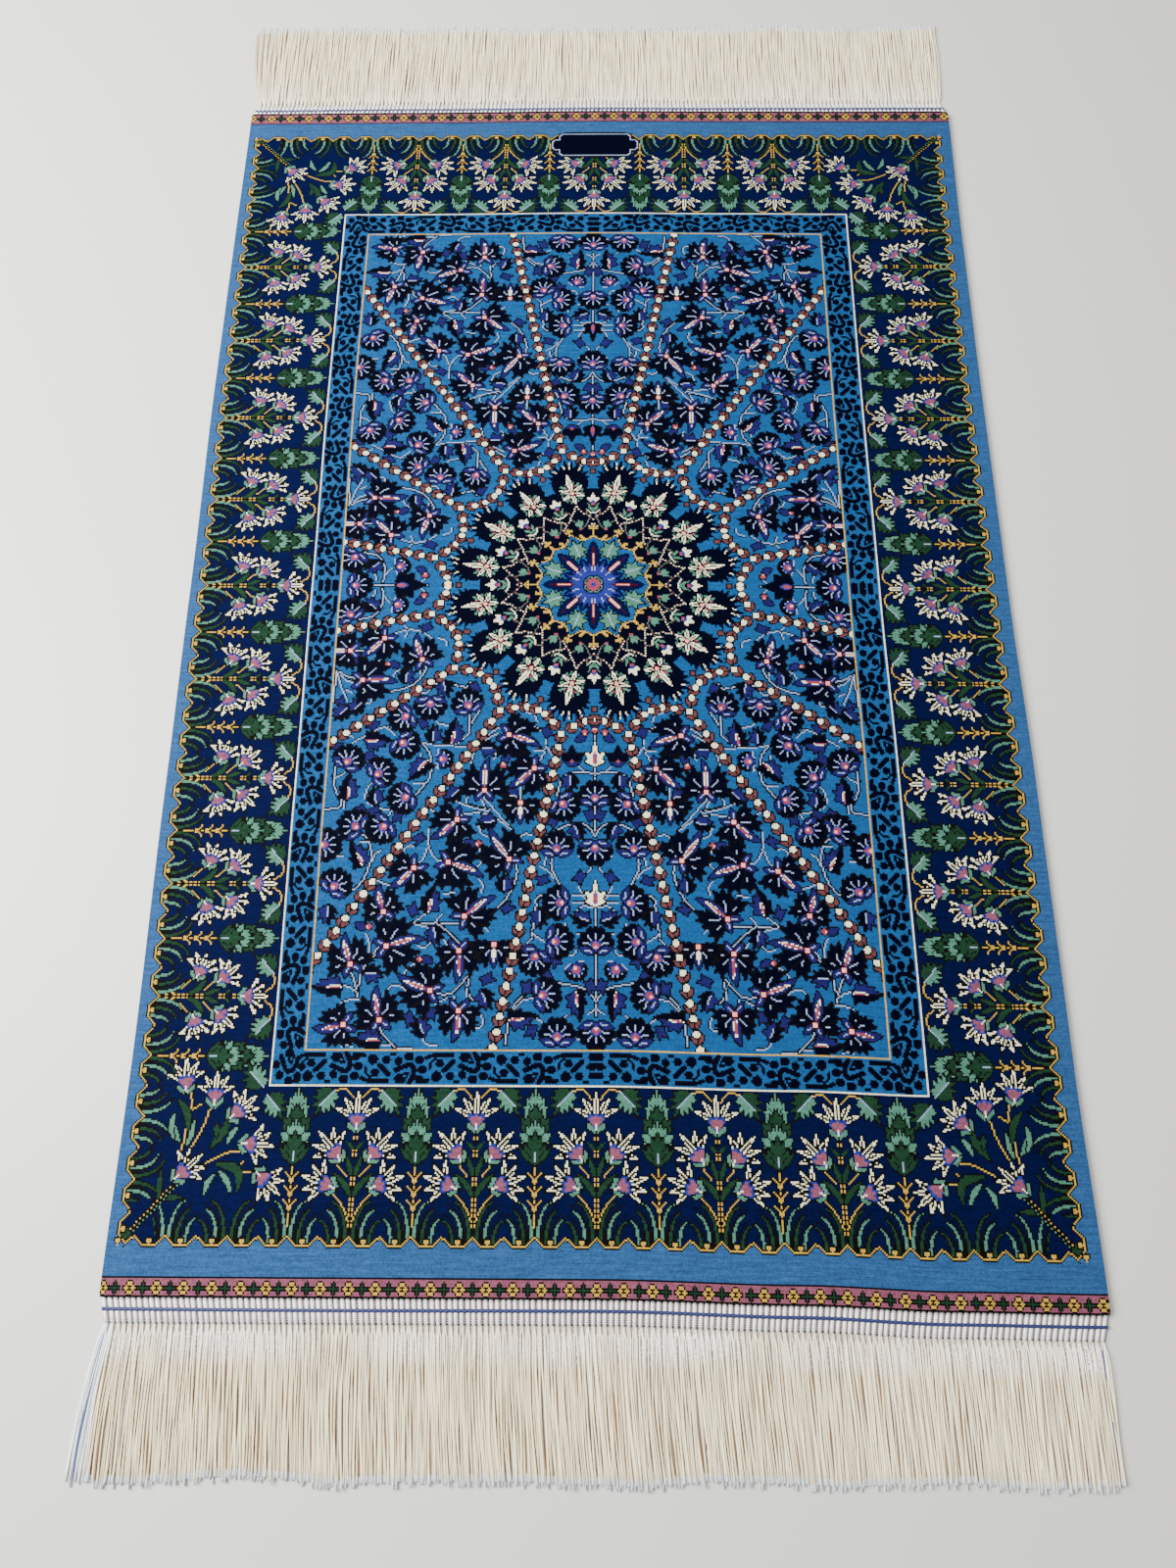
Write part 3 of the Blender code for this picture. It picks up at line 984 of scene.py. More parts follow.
    def cone(self, spot: Spot) -> None:
        """A tall green cone of four spiky tiers on a gold stem with three arrows.

        Args:
            spot: Where it lies, and which way it points.
        """
        chart = self.chart
        chart.line(spot, "0,4 0,50", 0.8, GOLD, UMBER, 0.9)
        for along in (24, 32, 40):
            head = spot.within(0, along)
            chart.line(head, "0,-2.6 0,1", 2.6, GOLD, UMBER, 0.8, LEAF)
            for side in SIDES:
                chart.thread(head, points("1,0.4 2,2 3.6,3", side), GOLD, UMBER)
        for half, yarn in self.CONE_TIERS:
            chart.crest(spot, half, yarn, UMBER, 0.9, size=(0.88, 1))
        for along, reach in rows("85,4 78.5,5 67.5,6 61,6 56,5.4"):
            for side in SIDES:
                chart.thread(spot, [(reach * side, along - 0.5), (0.5 * reach * side, along - 3.4)], UMBER)
        chart.line(spot, "0,50.5 0,56", 0.9, MIST)

    def clump(self, spot: Spot) -> None:
        """Five lilies on a stem of double gold dashes, with leaves at its joints and two half palmettes.

        Args:
            spot: Where it lies, and which way it points.
        """
        chart = self.chart
        halves = [replace(spot, flipped=side < 0) for side in SIDES]
        for own in halves:
            for path, width, yarn, taper in self.CLUMP_LEAVES:
                chart.line(own, path, width, yarn, UMBER, 0.8, taper)
            for path in self.CLUMP_CURLS:
                chart.thread(own, path, GOLD, UMBER)
            self.half_palmette(own.within(15, 92.5))
        for low, high in rows("11,16 17,29 35,40.5 52.5,56.5 62.5,67"):
            chart.line(spot, [(0, low), (0, high)], 3.4, UMBER)
            for across in SIDES:
                chart.thread(spot, [(across, low), (across, high)], GOLD, broken=3)
        for own in halves:
            for across, along, heading in ((16.2, 36.4, 70), (12, 55, 40)):
                self.lily(replace(own.within(across, along, heading), depth=spot.depth))
        self.lily(spot.within(0, 74.5), 1.08)

    def lily(self, spot: Spot, size: float = 1.0) -> None:
        """A cream lily of five slit petals, with a pink and blue core and two sea-green sepals, at a size.

        Args:
            spot: Where it lies, and which way it points.
            size: Its scale.
        """
        chart = self.chart
        size *= 0.1 + 0.9 * spot.depth
        for side in SIDES:
            sepal = points("1,-7.6 5.8,-3.6 5.2,-1.4 3.8,-2 0.8,-5", side)
            chart.patch(spot, sepal, JADE, UMBER, 0.8)
        for angle, reach, bend in rows("-57,14.5,-1.6 57,14.5,1.6 -29,15.5,-1 29,15.5,1 0,17,0.3"):
            chart.brush(spot, petal(angle, 2, (reach - 2) * size, 3.45, CREAM, bend, DART), edge=UMBER)
            chart.line(spot.turned(angle), [(0, 5), (0.03 * bend, 0.72 * reach * size)], 1.35, UMBER)
        chart.crest(spot, "0,5.6 2,3.6 4.2,4.6 5.8,1.8 0,-5.6", ROYAL)
        chart.crest(spot, "0,3.8 1.6,2 3.4,3 4.6,0.8 0,-4.8", ROSE)
        chart.thread(spot, "0,-5.4 0,-2.4", CREAM)

    def half_palmette(self, spot: Spot) -> None:
        """A leaf that hangs from the inner edge, sea-green on one side and serrated dark green on the other.

        Args:
            spot: Where it lies, and which way it points.
        """
        dark = "0.5,0.8 6,1.4 12,0.4 9.6,-2.6 13.8,-4 9.8,-6 13.2,-9 10,-9.6 12,-16 8.2,-12 5,-7"
        pale = "0,0 -2.4,-4.6 0.4,-6 -0.6,-11 2.4,-8.4 2.8,-13.2 4.8,-9.8 6.4,-14.4 8.2,-9"
        self.chart.patch(spot, dark, FERN, UMBER, 0.8)
        self.chart.patch(spot, pale, JADE, UMBER, 0.8)
        self.chart.thread(spot, "0.4,-0.4 8.6,-9", MIST)

    def corner(self) -> None:
        """The corner's own bunch of six lilies."""
        chart = self.chart
        own = Spot(self.HALF_WIDTH, self.HALF_LENGTH, 180)
        chart.patch(own, "0,0 0,24 18,28 21,14 25,0", NAVY)
        for spot in (Spot(212, 357, 0), Spot(209, 362, 180)):
            self.half_palmette(spot)
        for path in self.CORNER_STEMS.split(";"):
            chart.thread(own, path, GOLD, UMBER)
        for path, width, yarn in self.CORNER_LEAVES:
            chart.line(own, path, width, yarn, UMBER, 0.8, LEAF)
        diagonal = "8,9.2 32,36.8"
        for offset, yarn in ((-1.1, GOLD), (1.1, JADE)):
            chart.thread(own, diagonal, UMBER, UMBER, offset)
            chart.thread(own, diagonal, yarn, offset=offset, broken=2)
        for across, along, heading in rows(self.CORNER_LILIES):
            self.lily(own.within(across, along, heading), 0.94)


class EndBands(Drawing):
    """The bands past the border at each end: plain blue, a brown line, and rose with yellow flowers."""

    BLUE_END = 467.3
    ROSE_START = 468.6
    EDGE = 478.4
    PITCH = 16.5
    ARMS = ((1, 0), (-1, 0), (0, 1), (0, -1))

    def draw(self) -> None:
        """Draws the bands and their small flowers and crosses."""
        chart = self.chart
        for start, yarn in ((self.BLUE_END, UMBER), (self.ROSE_START, ROSE), (self.EDGE, UMBER)):
            chart.lay(chart.y > start, yarn)
        middle = round((self.ROSE_START + self.EDGE) / 2)
        for step in range(-1, 20):
            flower = Spot(round(self.PITCH * step), middle)
            petals = [Stroke([(2.1 * x, 2.3 * y)] * 2, 2.5, GOLD, EVEN) for x, y in self.ARMS]
            chart.brush(flower, *petals, edge=UMBER, rim=0.9)
            for side in SIDES:
                chart.thread(flower, points("-1.6,-1.6 1.6,1.6", side), UMBER)
            cross = Spot(round(self.PITCH * (step + 0.5)), middle)
            arms = [Stroke([(0, 0), (2.4 * x, 2.6 * y)], 1.3, FERN, EVEN) for x, y in self.ARMS]
            chart.brush(cross, *arms, edge=UMBER, rim=0.8)


class RugDesign:
    """The whole design, from the medallion to the end bands, with the bare panel in the far border."""

    HALF_COLUMNS = 300
    HALF_ROWS = 480
    PANEL_AT = 438.0

    def chart(self) -> np.ndarray:
        """Charts the design as yarn numbers, one row per row of knots from the near end.

        Returns:
            The numbers, as whole rows.
        """
        quarter = KnotChart(self.HALF_COLUMNS, self.HALF_ROWS, FIELD)
        for part in (DomeField, Guard, Border, EndBands, Medallion):
            part(quarter).draw()
        near = copy.deepcopy(quarter)
        for y in (132, 231):
            Flora(quarter).tulip(Spot(0, y, 180), NIGHT)
            Flora(near).tulip(Spot(0, y, 180), CREAM)
        knots = quarter.whole(near)
        self.panel(knots)
        return knots

    def panel(self, knots: np.ndarray) -> None:
        """Draws the small dark panel in the far border on the whole chart, and leaves it bare.

        Args:
            knots: The whole chart.
        """
        rows_of, columns = np.mgrid[0 : knots.shape[0], 0 : knots.shape[1]]
        across = np.abs(columns - (self.HALF_COLUMNS - 1))
        along = np.abs(rows_of - (self.HALF_ROWS - 1) - self.PANEL_AT)
        body = np.hypot(np.maximum(across - 25.5, 0), np.maximum(along - 8.5, 0)) - 5
        ears = np.hypot(np.maximum(across - 32, 0), np.maximum(along - 2.5, 0)) - 4
        for reach, yarn in ((1.6, UMBER), (0.4, MIST), (-0.7, NIGHT)):
            knots[np.minimum(body, ears) <= reach] = yarn.number


@dataclass(frozen=True)
class Outline:
    """The rug's outline as it lies: a rectangle whose sides and ends stray by a few millimetres."""

    half_width: float = 0.2985
    near_end: float = -0.4680
    far_end: float = 0.4635
    fringe_reach: float = 0.5690
    heading_pull_in: float = 0.0040
    stations: tuple = (0.0, 0.15, 0.35, 0.50, 0.70, 0.85, 1.0)
    left: tuple = (-3.0, -4.0, -2.0, -1.0, 1.0, 1.0, 0.5)
    right: tuple = (4.5, 2.0, 1.5, -0.5, -1.0, -0.5, 1.0)
    end_stations: tuple = (0.0, 0.25, 0.50, 0.70, 0.85, 1.0)
    near: tuple = (0.0, 0.0, 0.0, 2.5, 5.5, 6.5)
    far: tuple = (-1.5, -0.5, 1.0, 0.0, -0.5, -0.5)

    @staticmethod
    def eased(at: np.ndarray, stations: tuple, values: tuple) -> np.ndarray:
        """Reads values in mm at their stations, with smooth steps between, in metres.

        Args:
            at: Where to read, from 0 to 1.
            stations: The stations, from 0 to 1.
            values: The values there, in mm.

        Returns:
            The values read, in metres.
        """
        place = np.interp(at, stations, np.arange(len(stations)))
        low = np.minimum(place.astype(int), len(stations) - 2)
        share = smooth(place - low)
        table = np.array(values)
        return (table[low] * (1 - share) + table[low + 1] * share) * MM

    def place(self, u: np.ndarray, v: np.ndarray) -> tuple:
        """The floor's x and y in metres at shares of the pile's width from the left and its length from near.

        Args:
            u: Shares of the width.
            v: Shares of the length.

        Returns:
            Arrays of x and y.
        """
        left = -self.half_width - self.eased(v, self.stations, self.left)
        right = self.half_width + self.eased(v, self.stations, self.right)
        near = self.near_end - self.eased(u, self.end_stations, self.near)
        far = self.far_end + self.eased(u, self.end_stations, self.far)
        return left + (right - left) * u, near + (far - near) * v


def smooth(share: np.ndarray) -> np.ndarray:
    """A share from 0 to 1 that starts and ends gently."""
    return share * share * (3 - 2 * share)


class Mesher:
    """Makes finished pieces out of bmeshes, and reads and places their points all at once."""

    @staticmethod
    def piece(name: str, bm: bmesh.types.BMesh, material: bpy.types.Material) -> bpy.types.Object:
        """Turns a bmesh into a smooth piece at the origin, and frees it.

        Args:
            name: The piece's name.
            bm: Its shape.
            material: Its finish.

        Returns:
            The new object.
        """
        mesh = bpy.data.meshes.new(name)
        bm.to_mesh(mesh)
        bm.free()
        mesh.materials.append(material)
        mesh.shade_smooth()
        made = bpy.data.objects.new(name, mesh)
        bpy.context.scene.collection.objects.link(made)
        return made

    @staticmethod
    def read(items: bpy.types.bpy_prop_collection, field: str, width: int = 1, kind: type = np.int32) -> np.ndarray:
        """Reads a field of a mesh's items, one row each where it is wider than 1.

        Args:
            items: The items.
            field: The field's name.
            width: How many numbers each item has.
            kind: Their type.

        Returns:
            The numbers.
        """
        flat = np.empty(len(items) * width, kind)
        items.foreach_get(field, flat)
        return flat if width == 1 else flat.reshape(-1, width)

    @staticmethod
    def move(mesh: bpy.types.Mesh, x: np.ndarray, y: np.ndarray, z: np.ndarray) -> None:
        """Puts the mesh's points at new places, in metres."""
        mesh.vertices.foreach_set("co", np.stack([x, y, z], axis=1).astype(np.float32).ravel())
        mesh.update()

    @staticmethod
    def map_of(mesh: bpy.types.Mesh, name: str, u: np.ndarray, v: np.ndarray) -> None:
        """Gives the mesh a UV map, from the u and v of each point.

        Args:
            mesh: The mesh.
            name: The map's name.
            u: Each point's u.
            v: Each point's v.
        """
        corners = Mesher.read(mesh.loops, "vertex_index")
        flat = np.stack([u[corners], v[corners]], axis=1).astype(np.float32).ravel()
        mesh.uv_layers.new(name=name).data.foreach_set("uv", flat)

    @staticmethod
    def comb(name: str, strips: int, faces: int, material: bpy.types.Material) -> tuple:
        """Makes a row of separate flat bars, in half pitches across, from 0 to 1 along and from 0 to 1 high.

        Args:
            name: The piece's name.
            strips: How many bars, with a gap of their own width between them.
            faces: How many faces each has along its length.
            material: Its finish.

        Returns:
            The piece, and arrays of its points' places across, along and up.
        """
        bm = bmesh.new()
        columns = 2 * strips - 1
        bmesh.ops.create_grid(bm, x_segments=columns, y_segments=faces, size=0.5)
        for vert in bm.verts:
            vert.co.x = round((vert.co.x + 0.5) * columns)
            vert.co.y += 0.5
        gaps = [face for face in bm.faces if int(face.calc_center_median().x) % 2]
        bmesh.ops.delete(bm, geom=gaps, context="FACES")
        raised = bmesh.ops.extrude_face_region(bm, geom=bm.faces[:])["geom"]
        top = [item for item in raised if isinstance(item, bmesh.types.BMVert)]
        bmesh.ops.translate(bm, verts=top, vec=(0, 0, 1))
        bmesh.ops.recalc_face_normals(bm, faces=bm.faces)
        made = Mesher.piece(name, bm, material)
        return made, *Mesher.read(made.data.vertices, "co", 3, np.float32).astype(float).T

    @staticmethod
    def comb_map(
        mesh: bpy.types.Mesh,
        halves: np.ndarray,
        across: np.ndarray,
        along: np.ndarray,
        top: np.ndarray,
        skirt: float,
    ) -> None:
        """Gives a comb a flat map whose walls have a little width too.

        Args:
            mesh: The comb.
            halves: Each point's place across, in half pitches.
            across: Its place across the map.
            along: Its place along the map.
            top: How high it lies, from 0 to 1.
            skirt: How far the foot of a wall is set out, as a share of the map.
        """
        out = (halves % 2 * 2 - 1) * skirt * (1 - top)
        past = (np.round(along, 3) >= 1).astype(float) - (np.round(along, 3) <= 0)
        u = 0.02 + 0.96 * (across + out)
        Mesher.map_of(mesh, "OFBake", u, 0.02 + 0.96 * (along + 0.01 * past * (1 - top)))


@dataclass
class Pile:
    """The knotted body: a slab whose faces each carry a patch of the design."""

    outline: Outline
    thickness: float = 0.0035
    rounding: float = 0.0012
    across: int = 6
    along: int = 3
    columns: int = 100
    rows: int = 320
    margin: float = 0.012
    sharp_angle: float = 60.0
    # Where the chart's lines lie on the rug, in knots from the medallion's middle, as read.
    charted_columns: tuple = (-299.5, -292.0, -208.5, -187.0, 0.0, 187.0, 208.5, 292.0, 299.5)
    lying_columns: tuple = (-297.3, -291.2, -207.3, -187.2, 0.0, 188.2, 210.0, 294.3, 302.7)
    charted_rows: tuple = (-479.5, -200.0, 0.0, 334.5, 356.5, 451.5, 468.0, 479.5)
    lying_rows: tuple = (-479.5, -200.0, 0.0, 327.5, 348.5, 435.0, 449.0, 460.5)

    def build(self, knots: np.ndarray, material: bpy.types.Material) -> bpy.types.Object:
        """Makes the pile.

        Args:
            knots: The design, as yarn numbers.
            material: The pile's silk.

        Returns:
            The piece.
        """
        bm = bmesh.new()
        bmesh.ops.create_grid(bm, x_segments=self.columns, y_segments=self.rows, size=0.5)
        raised = bmesh.ops.extrude_face_region(bm, geom=bm.faces[:])["geom"]
        top = {item for item in raised if isinstance(item, bmesh.types.BMFace)}
        for item in raised:
            if isinstance(item, bmesh.types.BMVert):
                item.co.z = self.thickness
        self.lay_map(bm)
        self.lay_out(bm)
        rim = {edge for face in top for edge in face.edges if len(top.intersection(edge.link_faces)) == 1}
        bmesh.ops.bevel(
            bm,
            geom=list(rim),
            offset=self.rounding,
            segments=2,
            profile=0.5,
            affect="EDGES",
            material=-1,
            loop_slide=False,
        )
        bmesh.ops.recalc_face_normals(bm, faces=bm.faces)
        made = Mesher.piece("pile_knots", bm, material)
        made.data.set_sharp_from_angle(angle=math.radians(self.sharp_angle))
        self.knot(made.data, knots)
        return made

    def lay_map(self, bm: bmesh.types.BMesh) -> None:
        """Gives the slab its flat map, whose margin holds the walls.

        Args:
            bm: The slab, still a unit square.
        """
        layer = bm.loops.layers.uv.new("OFBake")
        for face in bm.faces:
            wall = len({round(vert.co.z, 4) for vert in face.verts}) > 1
            for loop in face.loops:
                x, y, z = loop.vert.co
                spread = 1.0 if wall and z < 0.5 * self.thickness else 1 - 2 * self.margin
                loop[layer].uv = (0.5 + x * spread, 0.5 + y * spread)

    def lay_out(self, bm: bmesh.types.BMesh) -> None:
        """Moves the grid's points to where their knots lie.

        Args:
            bm: The slab, still a unit square.
        """
        bm.verts.ensure_lookup_table()
        shares = []
        for axis, count, charted, lying in (
            (0, self.columns * self.across, self.charted_columns, self.lying_columns),
            (1, self.rows * self.along, self.charted_rows, self.lying_rows),
        ):
            knot = np.interp(np.array([vert.co[axis] for vert in bm.verts]) * count, charted, lying)
            shares.append((knot - lying[0]) / (lying[-1] - lying[0]))
        for vert, x, y in zip(bm.verts, *self.outline.place(*shares)):
            vert.co.x, vert.co.y = x, y

    def knot(self, mesh: bpy.types.Mesh, knots: np.ndarray) -> None:
        """Packs the yarns of each face's knots into the face, six to a number and three numbers to a face.

        Args:
            mesh: The pile's mesh.
            knots: The design, as yarn numbers.
        """
        width, length = self.columns * self.across, self.rows * self.along
        past = ((0, length - knots.shape[0]), (0, width - knots.shape[1]))
        padded = np.pad(knots, past, mode="edge").astype(np.int64)
        patches = padded.reshape(self.rows, self.along, self.columns, self.across)
        packed = (patches * len(Yarn) ** np.arange(self.across)).sum(-1)
        flat = Mesher.read(mesh.uv_layers["OFBake"].data, "uv", 2, np.float32)
        first = Mesher.read(mesh.polygons, "loop_start")
        middle = np.add.reduceat(flat, first, axis=0) / Mesher.read(mesh.polygons, "loop_total")[:, None]
        inner = np.clip((middle - self.margin) / (1 - 2 * self.margin), 0, UNDER_ONE)
        column = (inner[:, 0] * self.columns).astype(int)
        row = (inner[:, 1] * self.rows).astype(int)
        layer = mesh.attributes.new("knots", "FLOAT_VECTOR", "FACE")
        layer.data.foreach_set("vector", packed[row, :, column].astype(np.float32).ravel())


def linear(red: int, green: int, blue: int) -> tuple:
    """An sRGB colour from 0 to 255 as a linear one."""
    shares = [channel / 255 for channel in (red, green, blue)]
    return (*[((share + 0.055) / 1.055) ** 2.4 if share > 0.04045 else share / 12.92 for share in shares], 1.0)


class Finish:
    """A material, and short hands for wiring its nodes."""

    def __init__(self, name: str, **settings: object) -> None:
        """Starts a material. Its shader's inputs are set by their names, with _ for a space.

        Args:
            name: Its name.
            settings: The shader's inputs.
        """
        self.material = bpy.data.materials.new(name)
        self.material.use_nodes = True
        self.tree = self.material.node_tree
        self.shader = self.tree.nodes["Principled BSDF"]
        for title, value in settings.items():
            self.shader.inputs[title.replace("_", " ")].default_value = value

    def add(self, kind: str, *inputs: object, **settings: object) -> bpy.types.Node:
        """Adds a node, sets its properties and feeds its first inputs, passing over those that are None.

        Args:
            kind: The node's type, without ShaderNode.
            inputs: Sockets, numbers and colours, in order.
            settings: Its properties.

        Returns:
            The node.
        """
        node = self.tree.nodes.new("ShaderNode" + kind)
        for name, value in settings.items():
            setattr(node, name, value)
        for socket, value in zip(node.inputs, inputs):
            if value is not None:
                self.feed(socket, value)
        return node

    def feed(self, socket: bpy.types.NodeSocket, value: object) -> None:
        """Links a socket to another, or sets its number or colour.

        Args:
            socket: The socket.
            value: A socket, a number or a colour.
        """
        if isinstance(value, bpy.types.NodeSocket):
            self.tree.links.new(value, socket)
        else:
            socket.default_value = value

    def sum(self, operation: str, *values: object) -> bpy.types.NodeSocket:
        """Does a sum with sockets and numbers."""
        return self.add("Math", *values, operation=operation).outputs[0]

    def vector(self, x: object, y: object) -> bpy.types.NodeSocket:
        """Joins two numbers to a flat vector."""
        return self.add("CombineXYZ", x, y).outputs[0]

    def split(self, vector: bpy.types.NodeSocket) -> list:
        """A vector's three numbers."""
        return list(self.add("SeparateXYZ", vector).outputs)

    def mix(self, share: object, first: object, second: object) -> bpy.types.NodeSocket:
        """Mixes a share of the second colour into the first.

        Args:
            share: How much of the second.
            first: The first colour.
            second: The second colour.

        Returns:
            The mixed colour.
        """
        node = self.add("Mix", share, data_type="RGBA")
        self.feed(node.inputs[6], first)
        self.feed(node.inputs[7], second)
        return node.outputs[2]

    def shade(self, colour: object, value: object, saturation: float = 1.0) -> bpy.types.NodeSocket:
        """Changes a colour's value and saturation."""
        return self.add("HueSaturation", None, saturation, value, None, colour).outputs[0]

    def noise(self, scale: float, vector: object, detail: float = 2.0, rough: float = 0.5) -> bpy.types.NodeSocket:
        """A noise from 0 to 1 at a scale, over a vector."""
        return self.add("TexNoise", vector, None, scale, detail, rough).outputs["Fac"]

    def ramp(self, value: bpy.types.NodeSocket, *stops: tuple, kind: str = "LINEAR") -> bpy.types.NodeSocket:
        """Reads a value off a ramp from 0 to 1, whose stops are pairs of a position and a grey or a colour.

        Args:
            value: The value.
            stops: The stops.
            kind: How it runs from stop to stop.

        Returns:
            The colour read.
        """
        node = self.add("ValToRGB", value)
        node.color_ramp.interpolation = kind
        elements = node.color_ramp.elements
        while len(elements) < len(stops):
            elements.new(0.5)
        for element, (position, tone) in zip(elements, stops):
            element.position = position
            element.color = tone if isinstance(tone, tuple) else (tone, tone, tone, 1)
        return node.outputs[0]


@dataclass(frozen=True)
class PileSilk:
    """The pile's finish: the yarns' colours, streaks along the rows, painted sheen on the plain outer bands and
    rounded tufts.
    """

    roughness: float = 0.62
    specular: float = 0.015
    streak: float = 0.42
    grain: float = 0.45
    bands: float = 1.1
    # Painted sheen on the plain outer bands: how grey it makes them, how light, and how strong its streaks are.
    painted_sheen_saturation: float = 0.93
    painted_sheen_value: float = 0.98
    painted_sheen_streaks: float = 1.1
    tuft_strength: float = 0.35
    tuft_height: float = 0.0006
    # For the columns and for the rows: the middle knot, and how far from it the plain outer band starts.
    plain_from: tuple = ((299.5, 283.0), (479.5, 443.0))

    def make(self, pile: Pile) -> bpy.types.Material:
        """Makes the material for a pile, whose packed knots it reads.

        Args:
            pile: The pile.

        Returns:
            The material.
        """
        silk = Finish("pile_silk", Roughness=self.roughness, Specular_IOR_Level=self.specular)
        column, row, yarn = self.read_knot(silk, pile)
        stops = [(index / len(Yarn), linear(*one.value)) for index, one in enumerate(Yarn)]
        colour = silk.ramp(yarn, *stops, kind="CONSTANT")
        colour = self.streaks(silk, colour, column, row)
        silk.feed(silk.shader.inputs["Base Color"], self.paint_sheen(silk, colour, column, row, yarn))
        silk.feed(silk.shader.inputs["Normal"], self.relief(silk, column, row))
        return silk.material

    @staticmethod
    def read_knot(silk: Finish, pile: Pile) -> tuple:
        """Finds which knot a point lies in: its column and row, with fractions, and its yarn's place on the ramp.

        Args:
            silk: The material.
            pile: The pile.

        Returns:
            The column, the row and the yarn's place.
        """
        share = silk.split(silk.add("UVMap", uv_map="OFBake").outputs[0])
        places = []
        for axis, count in ((0, pile.columns * pile.across), (1, pile.rows * pile.along)):
            inner = silk.sum("DIVIDE", silk.sum("SUBTRACT", share[axis], pile.margin), 1 - 2 * pile.margin)
            inner = silk.sum("MINIMUM", silk.sum("MAXIMUM", inner, 0.0), UNDER_ONE)
            places.append(silk.sum("MULTIPLY", inner, count))
        column, row = places
        packed = silk.split(silk.add("Attribute", attribute_name="knots").outputs["Vector"])
        line = silk.sum("FLOORED_MODULO", silk.sum("FLOOR", row), pile.along)
        chosen = 0.0
        for number, stored in enumerate(packed):
            chosen = silk.sum("MULTIPLY_ADD", stored, silk.sum("COMPARE", line, number, 0.5), chosen)
        step = silk.sum("FLOORED_MODULO", silk.sum("FLOOR", column), pile.across)
        shifted = silk.sum("FLOOR", silk.sum("DIVIDE", chosen, silk.sum("POWER", len(Yarn), step)))
        yarn = silk.sum("FLOORED_MODULO", shifted, len(Yarn))
        return column, row, silk.sum("DIVIDE", silk.sum("ADD", yarn, 0.5), len(Yarn))

    @staticmethod
    def drawn(silk: Finish, column: object, row: object, wide: float, long: float, rough: float) -> object:
        """A noise in streaks along the rows, for columns and rows of these scales."""
        spot = silk.vector(silk.sum("MULTIPLY", column, wide), silk.sum("MULTIPLY", row, long))
        return silk.noise(1.0, spot, 3.0, rough)

    def streaks(self, silk: Finish, colour: object, column: object, row: object) -> bpy.types.NodeSocket:
        """Varies the yarns from knot to knot and from row to row, as hand-dyed silk varies.

        Args:
            silk: The material.
            colour: The yarn's colour.
            column: The point's column, with a fraction.
            row: The point's row, with a fraction.

        Returns:
            The varied colour.
        """
        spot = silk.vector(silk.sum("FLOOR", column), silk.sum("FLOOR", row))
        grain = silk.add("TexWhiteNoise", spot, noise_dimensions="2D").outputs[0]
        bands = silk.sum("MULTIPLY", self.drawn(silk, column, row, 0.06, 0.5, 0.6), self.bands)
        light = silk.sum("ADD", silk.sum("MULTIPLY", grain, self.grain), bands)
        level = (self.grain + self.bands) / 2
        light = silk.sum("MULTIPLY", silk.sum("SUBTRACT", light, level), 2 * self.streak)
        return silk.shade(colour, silk.sum("ADD", light, 1.0))

    def paint_sheen(self, silk: Finish, colour: object, column: object, row: object, yarn: object) -> bpy.types.NodeSocket:
        """Paints silk sheen on the plain blue bands outside the border: greyer, and lighter and darker in streaks.

        Args:
            silk: The material.
            colour: The varied colour.
            column: The point's column, with a fraction.
            row: The point's row, with a fraction.
            yarn: The yarn's place on the ramp.

        Returns:
            The colour, with painted sheen in those bands.
        """
        beyond = []
        for place, (middle, start) in zip((column, row), self.plain_from):
            off = silk.sum("ABSOLUTE", silk.sum("SUBTRACT", place, middle))
            beyond.append(silk.sum("GREATER_THAN", off, start))
        blue = silk.sum("LESS_THAN", yarn, 1 / len(Yarn))
        plain = silk.sum("MULTIPLY", silk.sum("MAXIMUM", *beyond), blue)
        # Painted sheen: the plain bands turn greyer, and lighter and darker in streaks along the rows.
        painted_sheen_streaks = silk.sum("SUBTRACT", self.drawn(silk, column, row, 0.035, 0.9, 0.7), 0.5)
        value = silk.sum("MULTIPLY_ADD", painted_sheen_streaks, self.painted_sheen_streaks, self.painted_sheen_value)
        return silk.mix(plain, colour, silk.shade(colour, value, self.painted_sheen_saturation))

    def relief(self, silk: Finish, column: object, row: object) -> bpy.types.NodeSocket:
        """Rounds each knot's tuft.

        Args:
            silk: The material.
            column: The point's column, with a fraction.
            row: The point's row, with a fraction.

        Returns:
            The bumped normal.
        """
        heights = []
        for place in (column, row):
            off = silk.sum("ABSOLUTE", silk.sum("SUBTRACT", silk.sum("FRACT", place), 0.5))
            heights.append(silk.sum("MULTIPLY", off, off))
        bump = silk.add("Bump")
        bump.inputs["Strength"].default_value = self.tuft_strength
        bump.inputs["Distance"].default_value = self.tuft_height
        silk.feed(bump.inputs["Height"], silk.sum("SUBTRACT", 1.0, silk.sum("ADD", *heights)))
        return bump.outputs[0]


